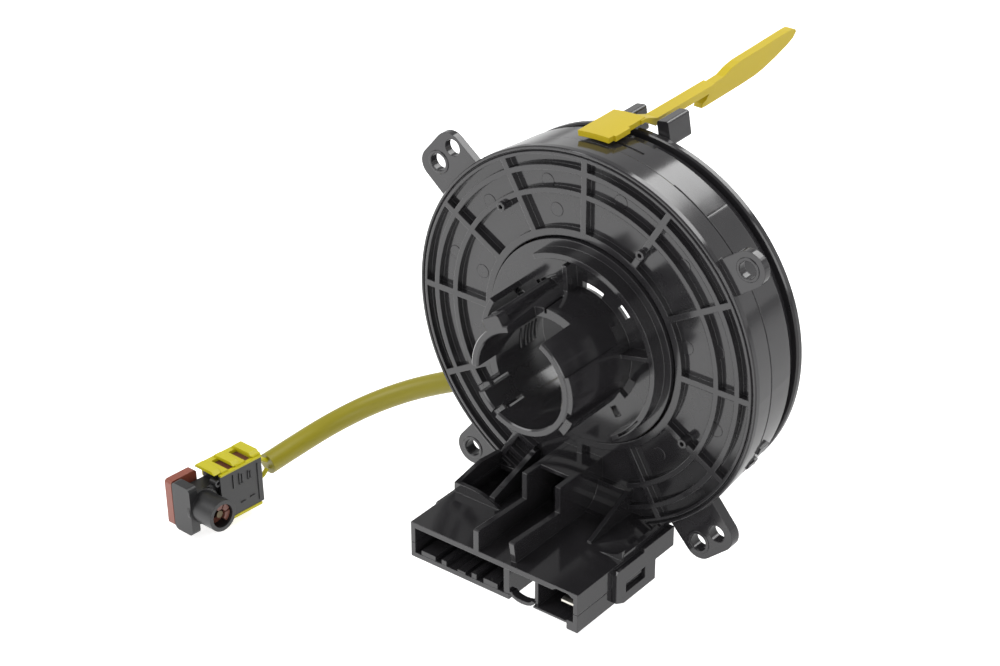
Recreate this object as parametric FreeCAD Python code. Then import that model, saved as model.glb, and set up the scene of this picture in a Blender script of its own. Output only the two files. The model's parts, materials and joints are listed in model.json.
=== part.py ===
"""Steering clock spring: the rotary coupling between a steering column and its wheel.

The ribbed cover with its fixing lugs and plug block, and the case behind it, stay on
the column.  The hub, the drum with its rear flange and the lead with its squib plug
turn with the wheel.  A coiled flat cable in the ring shaped space between them
carries the current.  A yellow tab locks the two halves until the wheel is fitted.

The column axis is Y, the ribbed face lies at y = 0 and looks along -Y, the steering
wheel is on the +Y side, and Z is up.  All sizes are in millimetres.
"""
import FreeCAD
import Part
import math
import os

# Column cover: the ribbed disc and its skirt
COVER_RADIUS = 62.4
COVER_DRAW = 0.7
SKIRT_DEPTH = 9.3
SKIRT_WALL = 2.0
CELL_DEPTH = 2.2
COVER_FLOOR = 1.4
OPENING_RADIUS = 33.9
INNER_RING = 2.6
MID_RING_INSET = 13.9
OUTER_RING_INSET = 6.6
RING_RIB = 1.7
RIM_WIDTH = 2.6
RIM_GROOVE = 0.8
RIB_WIDTH = 2.0
RIB_COUNT = 12
PEG_RADIUS = 1.5
PEG_BORE = 0.7
PEG_HEIGHT = 1.6

# Fixing lugs on the cover
LUG_FRONT = 2.0
UPPER_LUG_THICKNESS = 2.6
LOWER_LUG_THICKNESS = 3.8
LUG_HOLE_RADIUS = 2.8
UPPER_HOLE_REACH = 7.8
UPPER_HOLE_ANGLE = 36.9
LOWER_HOLE_REACH = 8.6
LOWER_HOLE_ANGLE = 52.1
SPARE_HOLE_STEP = 8.4
LUG_ROUND = 5.8
LUG_ROOT = 6.4
EAR_CORNER = 5.3
EAR_REACH = 0.5
UPPER_EAR_SWING = 1.3

# Outer case
CASE_GAP = 0.15
CASE_DEPTH = 24.6
CASE_DRAW = 2.6
CASE_WALL = 2.0
SPIGOT_LENGTH = 3.4
CASE_SLOT_WIDTH = 1.2
CASE_SLOT_DEPTH = 1.0
HOOK_STAND = 0.6

# Rotor
HUB_GAP = 0.35
FLANGE_INSET = 2.4
FLANGE_GAP = 1.9
FLANGE_THICKNESS = 2.7
DRUM_WALL = 1.7
BORE_RADIUS = 15.4
SLEEVE_LENGTH = 30.8
SLEEVE_FRONT_RADIUS = 17.9
SLEEVE_ROOT_RADIUS = 19.2
WEB_FRONT = 1.0
WEB_THICKNESS = 2.4
RING_WALL_RADIUS = 31.0
RING_WALL = 1.8
RING_WALL_HEIGHT = 5.0
SLEEVE_SLOT = 1.4
SLEEVE_NOTCH = 1.8
KEY_PLACE = 18.9
KEY_ANGLE = 125
KEY_RADIUS = 2.75
KEY_TIP = 4.0
KEY_TIP_WIDTH = 6.8
REAR_RIB_HEIGHT = 6.0
REAR_COLLAR_HEIGHT = 9.0
POST_LENGTH = 10.8
POST_WIDTH = 4.1
POST_HEIGHT = 8.1
POST_TILT = 9.5
LEFT_POST_X = 0.0
RIGHT_POST_X = 15.6
POST_DROP = 0.5
LOW_POST_DROP = 0.6

# Plug socket on the wheel side
WHEEL_SOCKET_X = 2.0
WHEEL_SOCKET_WIDTH = 24.0
WHEEL_SOCKET_HEIGHT = 10.6
WHEEL_SOCKET_DEPTH = 14.0
WHEEL_SOCKET_TOP = 38.4
WHEEL_SOCKET_FLOOR = 3.0
WHEEL_PINS = 5

# Plug block under the cover
BLOCK_HALF = 31.8
BLOCK_FRONT = 43.6
BLOCK_REAR = 3.8
BASE_REAR = 7.5
DECK_INSET = 7.0
BLOCK_HEIGHT = 13.6
SPLIT_DROP = 7.3
LEFT_FLOOR_RISE = 1.1
FOOT_RECESS = 2.1
BLOCK_WALL = 1.6
BLOCK_ROOF = 1.8
BLOCK_FLOOR = 2.7
SPLIT_GAP = 0.2
FLOOR_SKIN = 0.9
SOCKET_BACK = 26.0
SOCKET_BACK_WALL = 2.0
DIVIDER_X = 4.0
DIVIDER_WIDTH = 2.2
BAY_WALL_X = 15.4
BAY_WALL = 1.2
DECK_RIB_X = 6.3
DECK_RIB = 1.9
DECK_RIB_RISE = 7.4
DECK_STEP_Y = 19.6
DECK_STEP_RISE = 15.4
HOOD_FRONT = 12.5
HOOD_THICKNESS = 1.5
POCKET_FRONT = 21.8
LIP_RISE = 3.4
LIP_WALL = 1.6
STRUT_X = 17.5
STRUT_WIDTH = 2.0
GUSSET_X = 18.2
GUSSET_WIDTH = 1.5
FILLET_RADIUS = 8.5
RAIL_RISE = 1.8
WEB_RISE = 3.3
STRAP_THICKNESS = 1.6
STRAP_GAP = 0.1
STRAP_FRONT = 26.2
STRAP_REAR = 5.8
STRAP_DROP = 1.1
LEFT_STRAP_SHIFT = 3.8
WINDOW_FRONT = 21.3
WINDOW_REAR = 11.3
WINDOW_DROP = 6.6
WINDOW_HEIGHT = 4.0
LATCH_PLAY = 0.4

# Contacts
PIN_WIDTH = 0.7
PIN_TIP = 38.0
PIN_TAIL = 18.0
PIN_PITCH = 3.4
PIN_COUNT = 8
PIN_DROP = 5.2
BLADE_WIDTH = 4.4
BLADE_THICKNESS = 1.2
BLADE_X = 26.1
BLADE_DROP = 6.1
BLADE_TIP = 41.0

# Flat cable and what it lies between
CABLE_TURNS = 4
CABLE_GAP = 1.4
CABLE_PITCH = 3.4
CABLE_THICKNESS = 0.5
CABLE_FRONT = 5.4
CABLE_WIDTH = 15.6
SHEET_THICKNESS = 0.3
JOINT_BLOCK = 2.0
JOINT_HALF_ANGLE = 8.0

# Lock tab
TAB_CLEAR = 0.3
TAB_THICKNESS = 1.8
TAB_FRONT = 9.8
TAB_REAR = 28.0
TAB_ARM_WIDTH = 4.4
TAB_ARM_DROP = 2.4
TAB_ARM_HEIGHT = 2.3
PADDLE_FRONT = 58.7
PADDLE_LENGTH = 53.0
PADDLE_THICKNESS = 3.0

# Lead and squib plug
SHEATH_DIAMETER = 7.5
EXIT_LENGTH = 9.0
WIRE_DIAMETER = 1.6
WIRE_SPREAD = 2.4
WIRE_DEPTH = 4.0
PLUG_LENGTH = 30.0
PLUG_HEIGHT = 17.0
PLUG_THICKNESS = 8.8
BARREL_RADIUS = 5.5
BARREL_STAND = 9.0
BARREL_SETBACK = 24.0
BARREL_BORE = 4.1
CLIP_LENGTH = 19.0
CLIP_THICKNESS = 1.4
CLIP_DROP = 3.6
SLIDE_LENGTH = 11.0
SLIDE_THICKNESS = 3.2

# Places that follow from the sizes above
FLANGE_FRONT = CASE_DEPTH + FLANGE_GAP
FLANGE_REAR = FLANGE_FRONT + FLANGE_THICKNESS
DRUM_RADIUS = OPENING_RADIUS - HUB_GAP
DRUM_BORE = DRUM_RADIUS - DRUM_WALL
WEB_REAR = WEB_THICKNESS - WEB_FRONT
COVER_BACK = CELL_DEPTH + COVER_FLOOR
SKIRT_END_RADIUS = COVER_RADIUS - COVER_DRAW
CASE_RADIUS = SKIRT_END_RADIUS - 0.1
CASE_FRONT = SKIRT_DEPTH + CASE_GAP
CASE_INNER = CASE_RADIUS - CASE_WALL
CASE_BORE = CASE_INNER - CASE_WALL
MID_RING_RADIUS = COVER_RADIUS - MID_RING_INSET
OUTER_RING_RADIUS = COVER_RADIUS - OUTER_RING_INSET
FLANGE_RADIUS = COVER_RADIUS - FLANGE_INSET
LUG_REAR = LUG_FRONT + LOWER_LUG_THICKNESS
CABLE_OUTER = CASE_BORE - JOINT_BLOCK - CABLE_GAP
BLOCK_TOP = COVER_RADIUS - DECK_INSET
BLOCK_BOTTOM = BLOCK_TOP + BLOCK_HEIGHT
BLOCK_SPLIT = BLOCK_TOP + SPLIT_DROP
LEFT_BOTTOM = BLOCK_BOTTOM - LEFT_FLOOR_RISE
STRAP_TOP = BLOCK_TOP + STRAP_DROP
WINDOW_TOP = BLOCK_TOP + WINDOW_DROP
WINDOW_BOTTOM = WINDOW_TOP + WINDOW_HEIGHT
PIN_HEIGHT = BLOCK_TOP + PIN_DROP
BLADE_HEIGHT = BLOCK_TOP + BLADE_DROP
SPLIT_UPPER = BLOCK_SPLIT - SPLIT_GAP / 2
SPLIT_LOWER = BLOCK_SPLIT + SPLIT_GAP / 2
ROOF_UNDER = BLOCK_TOP + BLOCK_ROOF
FLOOR_TOP = BLOCK_BOTTOM - BLOCK_FLOOR
SIDE_INNER = BLOCK_HALF - BLOCK_WALL
HOOD_TOP = BLOCK_TOP - DECK_STEP_RISE
HOOK_RADIUS = CASE_RADIUS + HOOK_STAND
TAB_INNER = HOOK_RADIUS + TAB_CLEAR
TAB_OUTER = TAB_INNER + TAB_THICKNESS
TAB_ARM_TOP = TAB_OUTER - TAB_ARM_DROP
POST_REAR = FLANGE_REAR + POST_LENGTH
POST_TOP = TAB_INNER - POST_DROP
LOW_POST_TOP = TAB_INNER - LOW_POST_DROP
POST_BOTTOM = POST_TOP - POST_HEIGHT

ORIGIN = FreeCAD.Vector(0, 0, 0)
TURN_AXIS = FreeCAD.Vector(0, -1, 0)


def vec(x, y, z):
    """Shorthand for a vector."""
    return FreeCAD.Vector(x, y, z)


def polar(radius, degrees):
    """Point of the XZ plane at an angle counted from +X towards +Z."""
    angle = math.radians(degrees)
    return radius * math.cos(angle), radius * math.sin(angle)


def box(x0, x1, y0, y1, z0, z1):
    """Block between two corners, given in any order along each axis."""
    low = vec(min(x0, x1), min(y0, y1), min(z0, z1))
    return Part.makeBox(abs(x1 - x0), abs(y1 - y0), abs(z1 - z0), low)


def turned(profile, start=0.0, sweep=360.0):
    """Turn an outline of (radius, y) points about the column axis."""
    points = [vec(radius, y, 0) for radius, y in profile]
    face = Part.Face(Part.makePolygon(points + points[:1]))
    face.rotate(ORIGIN, TURN_AXIS, start)
    solid = face.revolve(ORIGIN, TURN_AXIS, sweep)
    if solid.Volume < 0:
        solid.reverse()
    return solid


def ring(inner, outer, y0, y1, start=0.0, end=360.0):
    """Ring, or part of one, of rectangular section."""
    return turned([(inner, y0), (outer, y0), (outer, y1), (inner, y1)], start, end - start)


def bar(degrees, inner, outer, width, y0, y1):
    """Straight rib along a radius."""
    solid = Part.makeBox(outer - inner, y1 - y0, width, vec(inner, y0, -width / 2))
    solid.rotate(ORIGIN, TURN_AXIS, degrees)
    return solid


def rod(x, z, radius, y0, y1):
    """Round bar along the column axis."""
    return Part.makeCylinder(radius, y1 - y0, vec(x, y0, z), vec(0, 1, 0))


def prism_x(outline, x0, x1):
    """Outline of (y, z) points drawn out along X."""
    points = [vec(x0, y, z) for y, z in outline]
    return Part.Face(Part.makePolygon(points + points[:1])).extrude(vec(x1 - x0, 0, 0))


def prism_y(outline, y0, y1):
    """Outline of (x, z) points drawn out along Y."""
    points = [vec(x, y0, z) for x, z in outline]
    return Part.Face(Part.makePolygon(points + points[:1])).extrude(vec(0, y1 - y0, 0))


def joined(parts):
    """One solid from pieces that overlap or touch."""
    solid = parts[0].multiFuse(parts[1:])
    return solid.removeSplitter()


def without(solid, tools):
    """Solid with other shapes taken away."""
    return solid.cut(Part.makeCompound(tools))


def hull_outline(discs, steps=10):
    """Outline round a set of discs (x, z, radius), as a belt would lie round pulleys."""
    points = []
    for x, z, radius in discs:
        for step in range(steps * 4):
            dx, dz = polar(radius, step * 90.0 / steps)
            points.append((x + dx, z + dz))
    points = sorted(set((round(x, 4), round(z, 4)) for x, z in points))
    return half_hull(points) + half_hull(points[::-1])


def half_hull(points):
    """One side of the convex outline of sorted points."""
    chain = []
    for point in points:
        while len(chain) > 1 and turn_of(chain[-2], chain[-1], point) <= 0:
            chain.pop()
        chain.append(point)
    return chain[:-1]


def turn_of(first, second, third):
    """Positive where three points turn to the left."""
    across = (second[0] - first[0]) * (third[1] - first[1])
    return across - (second[1] - first[1]) * (third[0] - first[0])


# Lugs

def lug_positions():
    """Hole centres of the lugs as lists of one or two holes, as seen from the front."""
    upper = COVER_RADIUS + UPPER_HOLE_REACH
    lower = COVER_RADIUS + LOWER_HOLE_REACH
    upper_left = 180 - UPPER_HOLE_ANGLE
    lower_right = -LOWER_HOLE_ANGLE
    return [
        [polar(upper, upper_left), spare_hole(upper, upper_left, -1)],
        [polar(upper, UPPER_HOLE_ANGLE)],
        [polar(lower, 180 + LOWER_HOLE_ANGLE)],
        [polar(lower, lower_right), spare_hole(lower, lower_right, 1)],
    ]


def spare_hole(radius, degrees, sense):
    """Second hole of an ear, a step along the same circle about the axis."""
    swing = math.degrees(2 * math.asin(SPARE_HOLE_STEP / 2 / radius)) * sense
    return polar(radius, degrees + swing)


def ear(holes):
    """Lug with one or two screw holes, drawn from the skirt out to the holes."""
    discs = []
    root = SKIRT_END_RADIUS - 4.0
    high = holes[0][1] > 0
    for x, z in holes:
        radius = math.hypot(x, z)
        degrees = math.degrees(math.atan2(z, x))
        if len(holes) > 1:
            if high:
                degrees += UPPER_EAR_SWING
            discs.append(polar(radius + EAR_REACH, degrees) + (EAR_CORNER,))
        else:
            discs.append((x, z, LUG_ROUND))
        discs.append(polar(root, degrees) + (LUG_ROOT if len(holes) > 1 else LUG_ROUND,))
    rear = LUG_FRONT + (UPPER_LUG_THICKNESS if high else LOWER_LUG_THICKNESS)
    body = prism_y(hull_outline(discs), LUG_FRONT, rear)
    keep_out = rod(0, 0, SKIRT_END_RADIUS - 0.6, LUG_FRONT - 1, rear + 1)
    return body.cut(keep_out)


def lug_holes():
    """Screw holes through all lugs."""
    holes = []
    for pair in lug_positions():
        for x, z in pair:
            holes.append(rod(x, z, LUG_HOLE_RADIUS, LUG_FRONT - 1, LUG_REAR + 1))
    return holes


# Column cover

def cover_disc():
    """Ribbed disc: floor, rings, radial ribs and the skirt with its grooved rim."""
    rim_inner = COVER_RADIUS - RIM_WIDTH
    groove = COVER_RADIUS - RIM_WIDTH / 2
    skirt = turned([
        (rim_inner, 0), (groove - RIM_GROOVE / 2, 0), (groove, RIM_GROOVE),
        (groove + RIM_GROOVE / 2, 0), (COVER_RADIUS - 0.3, 0), (COVER_RADIUS, 0.4),
        (COVER_RADIUS, LUG_FRONT),
        (SKIRT_END_RADIUS, SKIRT_DEPTH), (SKIRT_END_RADIUS - SKIRT_WALL, SKIRT_DEPTH),
        (rim_inner, COVER_BACK),
    ])
    floor = ring(OPENING_RADIUS, rim_inner + 0.2, CELL_DEPTH, COVER_BACK)
    inner_ring = turned([
        (OPENING_RADIUS, 0.4), (OPENING_RADIUS + 0.4, 0),
        (OPENING_RADIUS + INNER_RING, 0), (OPENING_RADIUS + INNER_RING, COVER_BACK),
        (OPENING_RADIUS, COVER_BACK),
    ])
    parts = [skirt, floor, inner_ring]
    half = RING_RIB / 2
    for radius in (MID_RING_RADIUS, OUTER_RING_RADIUS):
        # The ring ribs stop where the deck of the plug block begins.
        side = math.degrees(math.asin(GUSSET_X / radius))
        end = 270 - math.degrees(math.asin(STRUT_X / radius))
        parts.append(ring(radius - half, radius + half, 0, CELL_DEPTH + 0.1, -90 + side, end))
    for index in range(RIB_COUNT):
        degrees = 360.0 / RIB_COUNT * index
        outer = rim_inner + 0.5
        if abs(degrees - 270) < 1:
            outer = BLOCK_TOP - DECK_STEP_RISE + 2.0
        parts.append(bar(degrees, OPENING_RADIUS + 2, outer, RIB_WIDTH, 0, CELL_DEPTH + 0.1))
    return joined(parts)


def cover_pegs():
    """Small hollow pegs that stand on the ribs."""
    pegs = []
    for radius, degrees in ((MID_RING_RADIUS - 1.5, 128.9), (42.5, 59.8), (43.9, -28.8)):
        x, z = polar(radius, degrees)
        peg = rod(x, z, PEG_RADIUS, -PEG_HEIGHT, CELL_DEPTH + 0.1)
        pegs.append(peg.cut(rod(x, z, PEG_BORE, -PEG_HEIGHT - 1, 0.6)))
    return pegs


def deck():
    """Roof of the plug block with its upstanding ribs, pocket, hood and gussets."""
    top = -BLOCK_TOP
    under = -ROOF_UNDER
    half = BLOCK_HALF
    parts = [box(-half, half, -BLOCK_FRONT, COVER_BACK, under, top)]
    # Side walls down to the split line and the wall at the back
    for sign in (-1, 1):
        outer = sign * half
        inner = sign * SIDE_INNER
        parts.append(box(inner, outer, -BLOCK_FRONT, BLOCK_REAR, -SPLIT_UPPER, top))
    parts.append(box(-half, half, BLOCK_REAR - BLOCK_WALL, BLOCK_REAR, -SPLIT_UPPER, top))
    # Floor of the part of the block behind the base
    parts.append(box(-half, half, -BASE_REAR + SPLIT_GAP, BLOCK_REAR, -SPLIT_UPPER,
                     -SPLIT_UPPER + FLOOR_SKIN))
    # Stepped ribs that run from the front edge back to the disc
    front_top = top + DECK_RIB_RISE
    step_top = top + DECK_STEP_RISE
    for centre, foot, crest in ((-DECK_RIB_X, BLOCK_FRONT, BLOCK_FRONT), (DECK_RIB_X, 41.4, 42.6)):
        outline = [
            (-foot, top - 0.2), (-crest, front_top - 0.3), (-crest + 0.6, front_top),
            (-DECK_STEP_Y, front_top - 1.1), (-DECK_STEP_Y, step_top),
            (CELL_DEPTH + 0.1, step_top), (CELL_DEPTH + 0.1, top - 0.2),
        ]
        parts.append(prism_x(outline, centre - DECK_RIB / 2, centre + DECK_RIB / 2))
    # Hood between them, over the way of the conductors
    parts.append(box(-DECK_RIB_X, DECK_RIB_X, -HOOD_FRONT, CELL_DEPTH + 0.1,
                     step_top - HOOD_THICKNESS, step_top - 0.05))
    # Pocket at the left: outer wall, curved lip and slanted strut
    lip_top = top + LIP_RISE
    parts.append(prism_x([
        (-POCKET_FRONT, top - 0.2), (-POCKET_FRONT, lip_top), (-10.0, lip_top + 2.0),
        (CELL_DEPTH + 0.1, lip_top + 0.6), (CELL_DEPTH + 0.1, top - 0.2),
    ], -half, -SIDE_INNER))
    parts.append(lip())
    parts.append(prism_x([
        (-POCKET_FRONT + 0.4, top - 0.2), (-POCKET_FRONT + 0.4, lip_top - 0.4),
        (0.0, top + 9.4), (CELL_DEPTH + 0.1, top + 9.4), (CELL_DEPTH + 0.1, top - 0.2),
    ], -STRUT_X - STRUT_WIDTH / 2, -STRUT_X + STRUT_WIDTH / 2))
    # Smooth hollow between disc and deck, right of the ribs
    radius = FILLET_RADIUS
    arc = []
    for step in range(9):
        degrees = step * 90.0 / 8
        dy, dz = polar(radius, degrees)
        arc.append((-radius + dy, top + radius - dz))
    outline = [(CELL_DEPTH + 0.1, top - 0.2)] + [(-radius, top - 0.2)] + arc[::-1]
    outline.append((CELL_DEPTH + 0.1, top + radius))
    parts.append(prism_x(outline, DECK_RIB_X + 0.5, GUSSET_X))
    # Gusset and corner web at the right
    parts.append(prism_x([
        (-19.4, top - 0.2), (-19.4, top + 0.5), (0.0, top + 8.6),
        (CELL_DEPTH + 0.1, top + 8.6), (CELL_DEPTH + 0.1, top - 0.2),
    ], GUSSET_X - GUSSET_WIDTH / 2, GUSSET_X + GUSSET_WIDTH / 2))
    web = [(23.3, top - 0.2), (23.3, top), (27.0, top + 0.5), (29.6, top + 1.5)]
    web += [(half - 0.1, top + WEB_RISE), (half - 0.1, top - 0.2)]
    parts.append(prism_y(web, -21.2, -19.8))
    parts.append(box(SIDE_INNER, half, -20.5, BLOCK_REAR, top - 0.2, top + RAIL_RISE))
    return joined(parts)


def lip():
    """Curved lip in front of the pocket, high at the wall and level with the deck inside."""
    top = -BLOCK_TOP
    steps = 8
    outline = [(-BLOCK_HALF, top - 0.2), (-BLOCK_HALF, top + LIP_RISE)]
    reach = BLOCK_HALF - 14.0
    for step in range(steps + 1):
        share = step / steps
        fall = math.cos(share * math.pi / 2) ** 0.8 if share < 1 else 0.0
        outline.append((-26.4 + (reach - 5.4) * share, top + LIP_RISE * fall))
    outline.append((-14.0, top - 0.2))
    return prism_y(outline, -POCKET_FRONT - 0.4, -POCKET_FRONT - 0.4 + LIP_WALL)


def strap_shift(sign):
    """How far the strap of one side stands in front of the other side's place."""
    return LEFT_STRAP_SHIFT if sign < 0 else 0.0


def strap(sign):
    """Latch strap that hangs from the cover's side over the base."""
    inner = sign * (BLOCK_HALF + STRAP_GAP)
    outer = sign * (BLOCK_HALF + STRAP_GAP + STRAP_THICKNESS)
    front = STRAP_FRONT + strap_shift(sign)
    window_front = WINDOW_FRONT + strap_shift(sign)
    window_rear = WINDOW_REAR + strap_shift(sign)
    loop = prism_x([
        (-front, -STRAP_TOP - 1.0), (-front + 1.0, -STRAP_TOP),
        (-STRAP_REAR, -STRAP_TOP), (-STRAP_REAR, -BLOCK_BOTTOM - 0.4),
        (-front + 4.0, -BLOCK_BOTTOM - 0.4), (-front, -BLOCK_BOTTOM + 1.4),
    ], inner, outer)
    plate = box(inner, outer, -12.0, BLOCK_REAR, -BLOCK_SPLIT + 0.3, -BLOCK_TOP)
    window = box(inner - sign, outer + sign, -window_front, -window_rear, -WINDOW_BOTTOM,
                 -WINDOW_TOP)
    bridge = box(sign * (BLOCK_HALF - 0.2), inner, -front + 2, BLOCK_REAR,
                 -SPLIT_UPPER + 0.6, -STRAP_TOP)
    return joined([loop.cut(window), plate.cut(window), bridge.cut(window)])


def column_cover():
    """Whole cover with lugs, deck and latch straps."""
    parts = [cover_disc(), deck(), strap(-1), strap(1)]
    parts += [ear(pair) for pair in lug_positions()]
    parts += cover_pegs()
    solid = joined(parts)
    tools = lug_holes()
    # Nothing of the deck stands inside the opening or behind the skirt.
    tools.append(rod(0, 0, OPENING_RADIUS, -2, SKIRT_DEPTH + 1))
    tools.append(ring(OPENING_RADIUS + 0.1, CASE_INNER - 0.3, COVER_BACK, SKIRT_DEPTH + 1))
    # Way for the conductors through the floor and the deck, under the hood
    way = DECK_RIB_X - DECK_RIB / 2
    tools.append(box(-way, way, CELL_DEPTH - 1.2, COVER_BACK + 1, -BLOCK_TOP + 0.4,
                     -HOOD_TOP - HOOD_THICKNESS - 0.4))
    tools.append(box(-way, way, -8.0, -0.6, -ROOF_UNDER - 1, -BLOCK_TOP + 1))
    # Open pocket behind the lip
    tools.append(box(-SIDE_INNER + 0.6, -STRUT_X - STRUT_WIDTH / 2 - 0.4, -POCKET_FRONT + 2.0,
                     -1.0, -ROOF_UNDER - 1, -BLOCK_TOP + 1))
    # Shallow arch in the front edge over the right socket
    tools.append(prism_y([
        (22.3, -ROOF_UNDER - 0.1), (23.8, -ROOF_UNDER + 0.9), (28.2, -ROOF_UNDER + 0.9),
        (29.7, -ROOF_UNDER - 0.1),
    ], -BLOCK_FRONT - 1, -BLOCK_FRONT + 3))
    return without(solid, tools)


# Case

def outer_case():
    """Rear band of the housing: tapered wall, spigot in the skirt, joint slots and hooks."""
    rear_radius = CASE_RADIUS - CASE_DRAW
    round_start = CASE_DEPTH - 3.6
    shoulder = CASE_RADIUS - CASE_DRAW * 0.35
    inner_rear = rear_radius - CASE_WALL
    band = turned([
        (CASE_BORE, SKIRT_DEPTH - SPIGOT_LENGTH),
        (CASE_INNER - 0.1, SKIRT_DEPTH - SPIGOT_LENGTH), (CASE_INNER - 0.1, CASE_FRONT),
        (CASE_RADIUS, CASE_FRONT), (shoulder, round_start), (rear_radius, CASE_DEPTH),
        (inner_rear, CASE_DEPTH), (CASE_BORE, round_start),
    ])
    deep = CASE_RADIUS - CASE_SLOT_DEPTH
    width = CASE_SLOT_WIDTH
    tools = [
        # Seam and the joined slots in the wall, seen at the top right
        ring(deep, COVER_RADIUS, CASE_FRONT + 4.1, CASE_FRONT + 4.1 + width, 79.5, 89.7),
        ring(deep - 1.4, COVER_RADIUS, CASE_DEPTH - 4.8, CASE_DEPTH + 1, 79.5, 90),
        bar(53.5, deep, COVER_RADIUS, width * 0.6, CASE_FRONT - 1, CASE_DEPTH - 2.6),
    ]
    band = without(band, tools)
    hooks = []
    for degrees, front, depth in ((-21.5, 11.0, 4.6), (-27.0, CASE_FRONT, 4.2)):
        hook = bar(degrees, CASE_RADIUS - 1.0, HOOK_RADIUS, 2.6, front, front + depth)
        hooks.append(hook)
    return joined([band] + hooks)


# Plug block base

def base_walls():
    """Floor, side walls, socket walls and the steps of the two plug sockets."""
    half = BLOCK_HALF
    bottom = -BLOCK_BOTTOM
    floor_top = -FLOOR_TOP
    rear = -BASE_REAR
    bay_left = DIVIDER_X + DIVIDER_WIDTH
    lower = -SPLIT_LOWER
    under = -ROOF_UNDER - 0.1
    back = -SOCKET_BACK
    parts = [box(-half, bay_left, -BLOCK_FRONT, rear, -LEFT_BOTTOM, floor_top)]
    parts.append(box(bay_left, half, -BLOCK_FRONT, rear, bottom, floor_top))
    for sign, foot in ((-1, -LEFT_BOTTOM), (1, bottom)):
        parts.append(box(sign * SIDE_INNER, sign * half, -BLOCK_FRONT, rear, foot, lower))
    parts.append(box(-half, half, rear - BLOCK_WALL, rear, -LEFT_BOTTOM, lower))
    inside = SIDE_INNER - 0.1
    parts.append(box(-inside, inside, back, back + SOCKET_BACK_WALL, floor_top - 0.2, under))
    divider_end = DIVIDER_X + DIVIDER_WIDTH
    parts.append(box(DIVIDER_X, divider_end, -BLOCK_FRONT + 0.3, back + 0.2,
                     floor_top - 0.2, under))
    parts.append(box(BAY_WALL_X, BAY_WALL_X + BAY_WALL, -BLOCK_FRONT + 0.8, back + 0.2,
                     floor_top - 0.2, under))
    # Steps on the floor of the left socket
    for x0, x1, rise in ((-27.9, -22.4, 1.6), (-20.0, -18.1, 1.6), (-13.8, -10.7, 0.7),
                         (-8.3, -6.4, 1.8), (-3.7, 1.7, 1.8)):
        parts.append(box(x0, x1, -BLOCK_FRONT + 0.2, back + 0.2, floor_top - 0.2, floor_top + rise))
    # Solid foot at the right corner
    parts.append(box(27.8, half, -BLOCK_FRONT, back + 0.2, bottom, floor_top + 0.5))
    return joined(parts)


def latch_tooth(sign):
    """Wedge on the base's side that snaps into the strap's window."""
    base = sign * (BLOCK_HALF - 0.1)
    tip = sign * (BLOCK_HALF + STRAP_GAP + STRAP_THICKNESS * 0.6)
    return prism_y([
        (base, -WINDOW_BOTTOM + LATCH_PLAY), (tip, -SPLIT_LOWER - 1.0),
        (tip, -SPLIT_LOWER), (base, -SPLIT_LOWER),
    ], -WINDOW_FRONT - strap_shift(sign) + 1, -WINDOW_REAR - strap_shift(sign) - 1)


def connector_base(pins):
    """Lower shell of the plug block, open below the middle bay, with its U shaped lip."""
    solid = joined([base_walls(), latch_tooth(-1), latch_tooth(1)])
    bay_left = DIVIDER_X + DIVIDER_WIDTH
    tools = [
        box(bay_left, BAY_WALL_X, -BLOCK_FRONT - 1, -SOCKET_BACK - 1.0,
            -BLOCK_BOTTOM - 1, -FLOOR_TOP + 1),
        # Finger recess under the side wall at the right foot
        box(BAY_WALL_X - 1, 27.8, -BLOCK_FRONT - 1, -BLOCK_FRONT + 8.0, -BLOCK_BOTTOM - 1,
            -BLOCK_BOTTOM + FOOT_RECESS),
    ]
    solid = without(solid, tools)
    middle = (bay_left + BAY_WALL_X) / 2
    wide = (BAY_WALL_X - bay_left) / 2
    outline = []
    for step in range(9):
        degrees = 180 + step * 22.5
        outline.append((middle + (wide + 0.2) * math.cos(math.radians(degrees)),
                        -BLOCK_BOTTOM + 3.8 + 2.5 * math.sin(math.radians(degrees))))
    for step in range(8, -1, -1):
        degrees = 180 + step * 22.5
        outline.append((middle + (wide - 1.0) * math.cos(math.radians(degrees)),
                        -BLOCK_BOTTOM + 3.8 + 1.3 * math.sin(math.radians(degrees))))
    bridge = prism_y(outline, -BLOCK_FRONT + 0.3, -BLOCK_FRONT + 3.0)
    solid = joined([solid, bridge])
    return without(solid, pins)


def left_terminals():
    """Row of square pins in the left socket."""
    pins = []
    span = PIN_PITCH * (PIN_COUNT - 1)
    middle = (-SIDE_INNER + DIVIDER_X) / 2
    half = PIN_WIDTH / 2
    for index in range(PIN_COUNT):
        x = middle - span / 2 + PIN_PITCH * index
        pins.append(box(x - half, x + half, -PIN_TIP, -PIN_TAIL, -PIN_HEIGHT - half,
                        -PIN_HEIGHT + half))
    rail = box(middle - span / 2 - 1.5, middle + span / 2 + 1.5, -PIN_TAIL - 2.0, -PIN_TAIL,
               -PIN_HEIGHT - 1.2, -PIN_HEIGHT + 1.2)
    return joined(pins + [rail])


def right_terminals():
    """Two pins beside the blade in the right socket."""
    half = PIN_WIDTH / 2
    pins = []
    for x in (18.9, 18.9 + PIN_PITCH):
        pins.append(box(x - half, x + half, -PIN_TIP, -PIN_TAIL, -PIN_HEIGHT - half,
                        -PIN_HEIGHT + half))
    rail = box(17.8, 17.8 + PIN_PITCH + 2.2, -PIN_TAIL - 2.0, -PIN_TAIL, -PIN_HEIGHT - 1.2,
               -PIN_HEIGHT + 1.2)
    return joined(pins + [rail])


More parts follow.
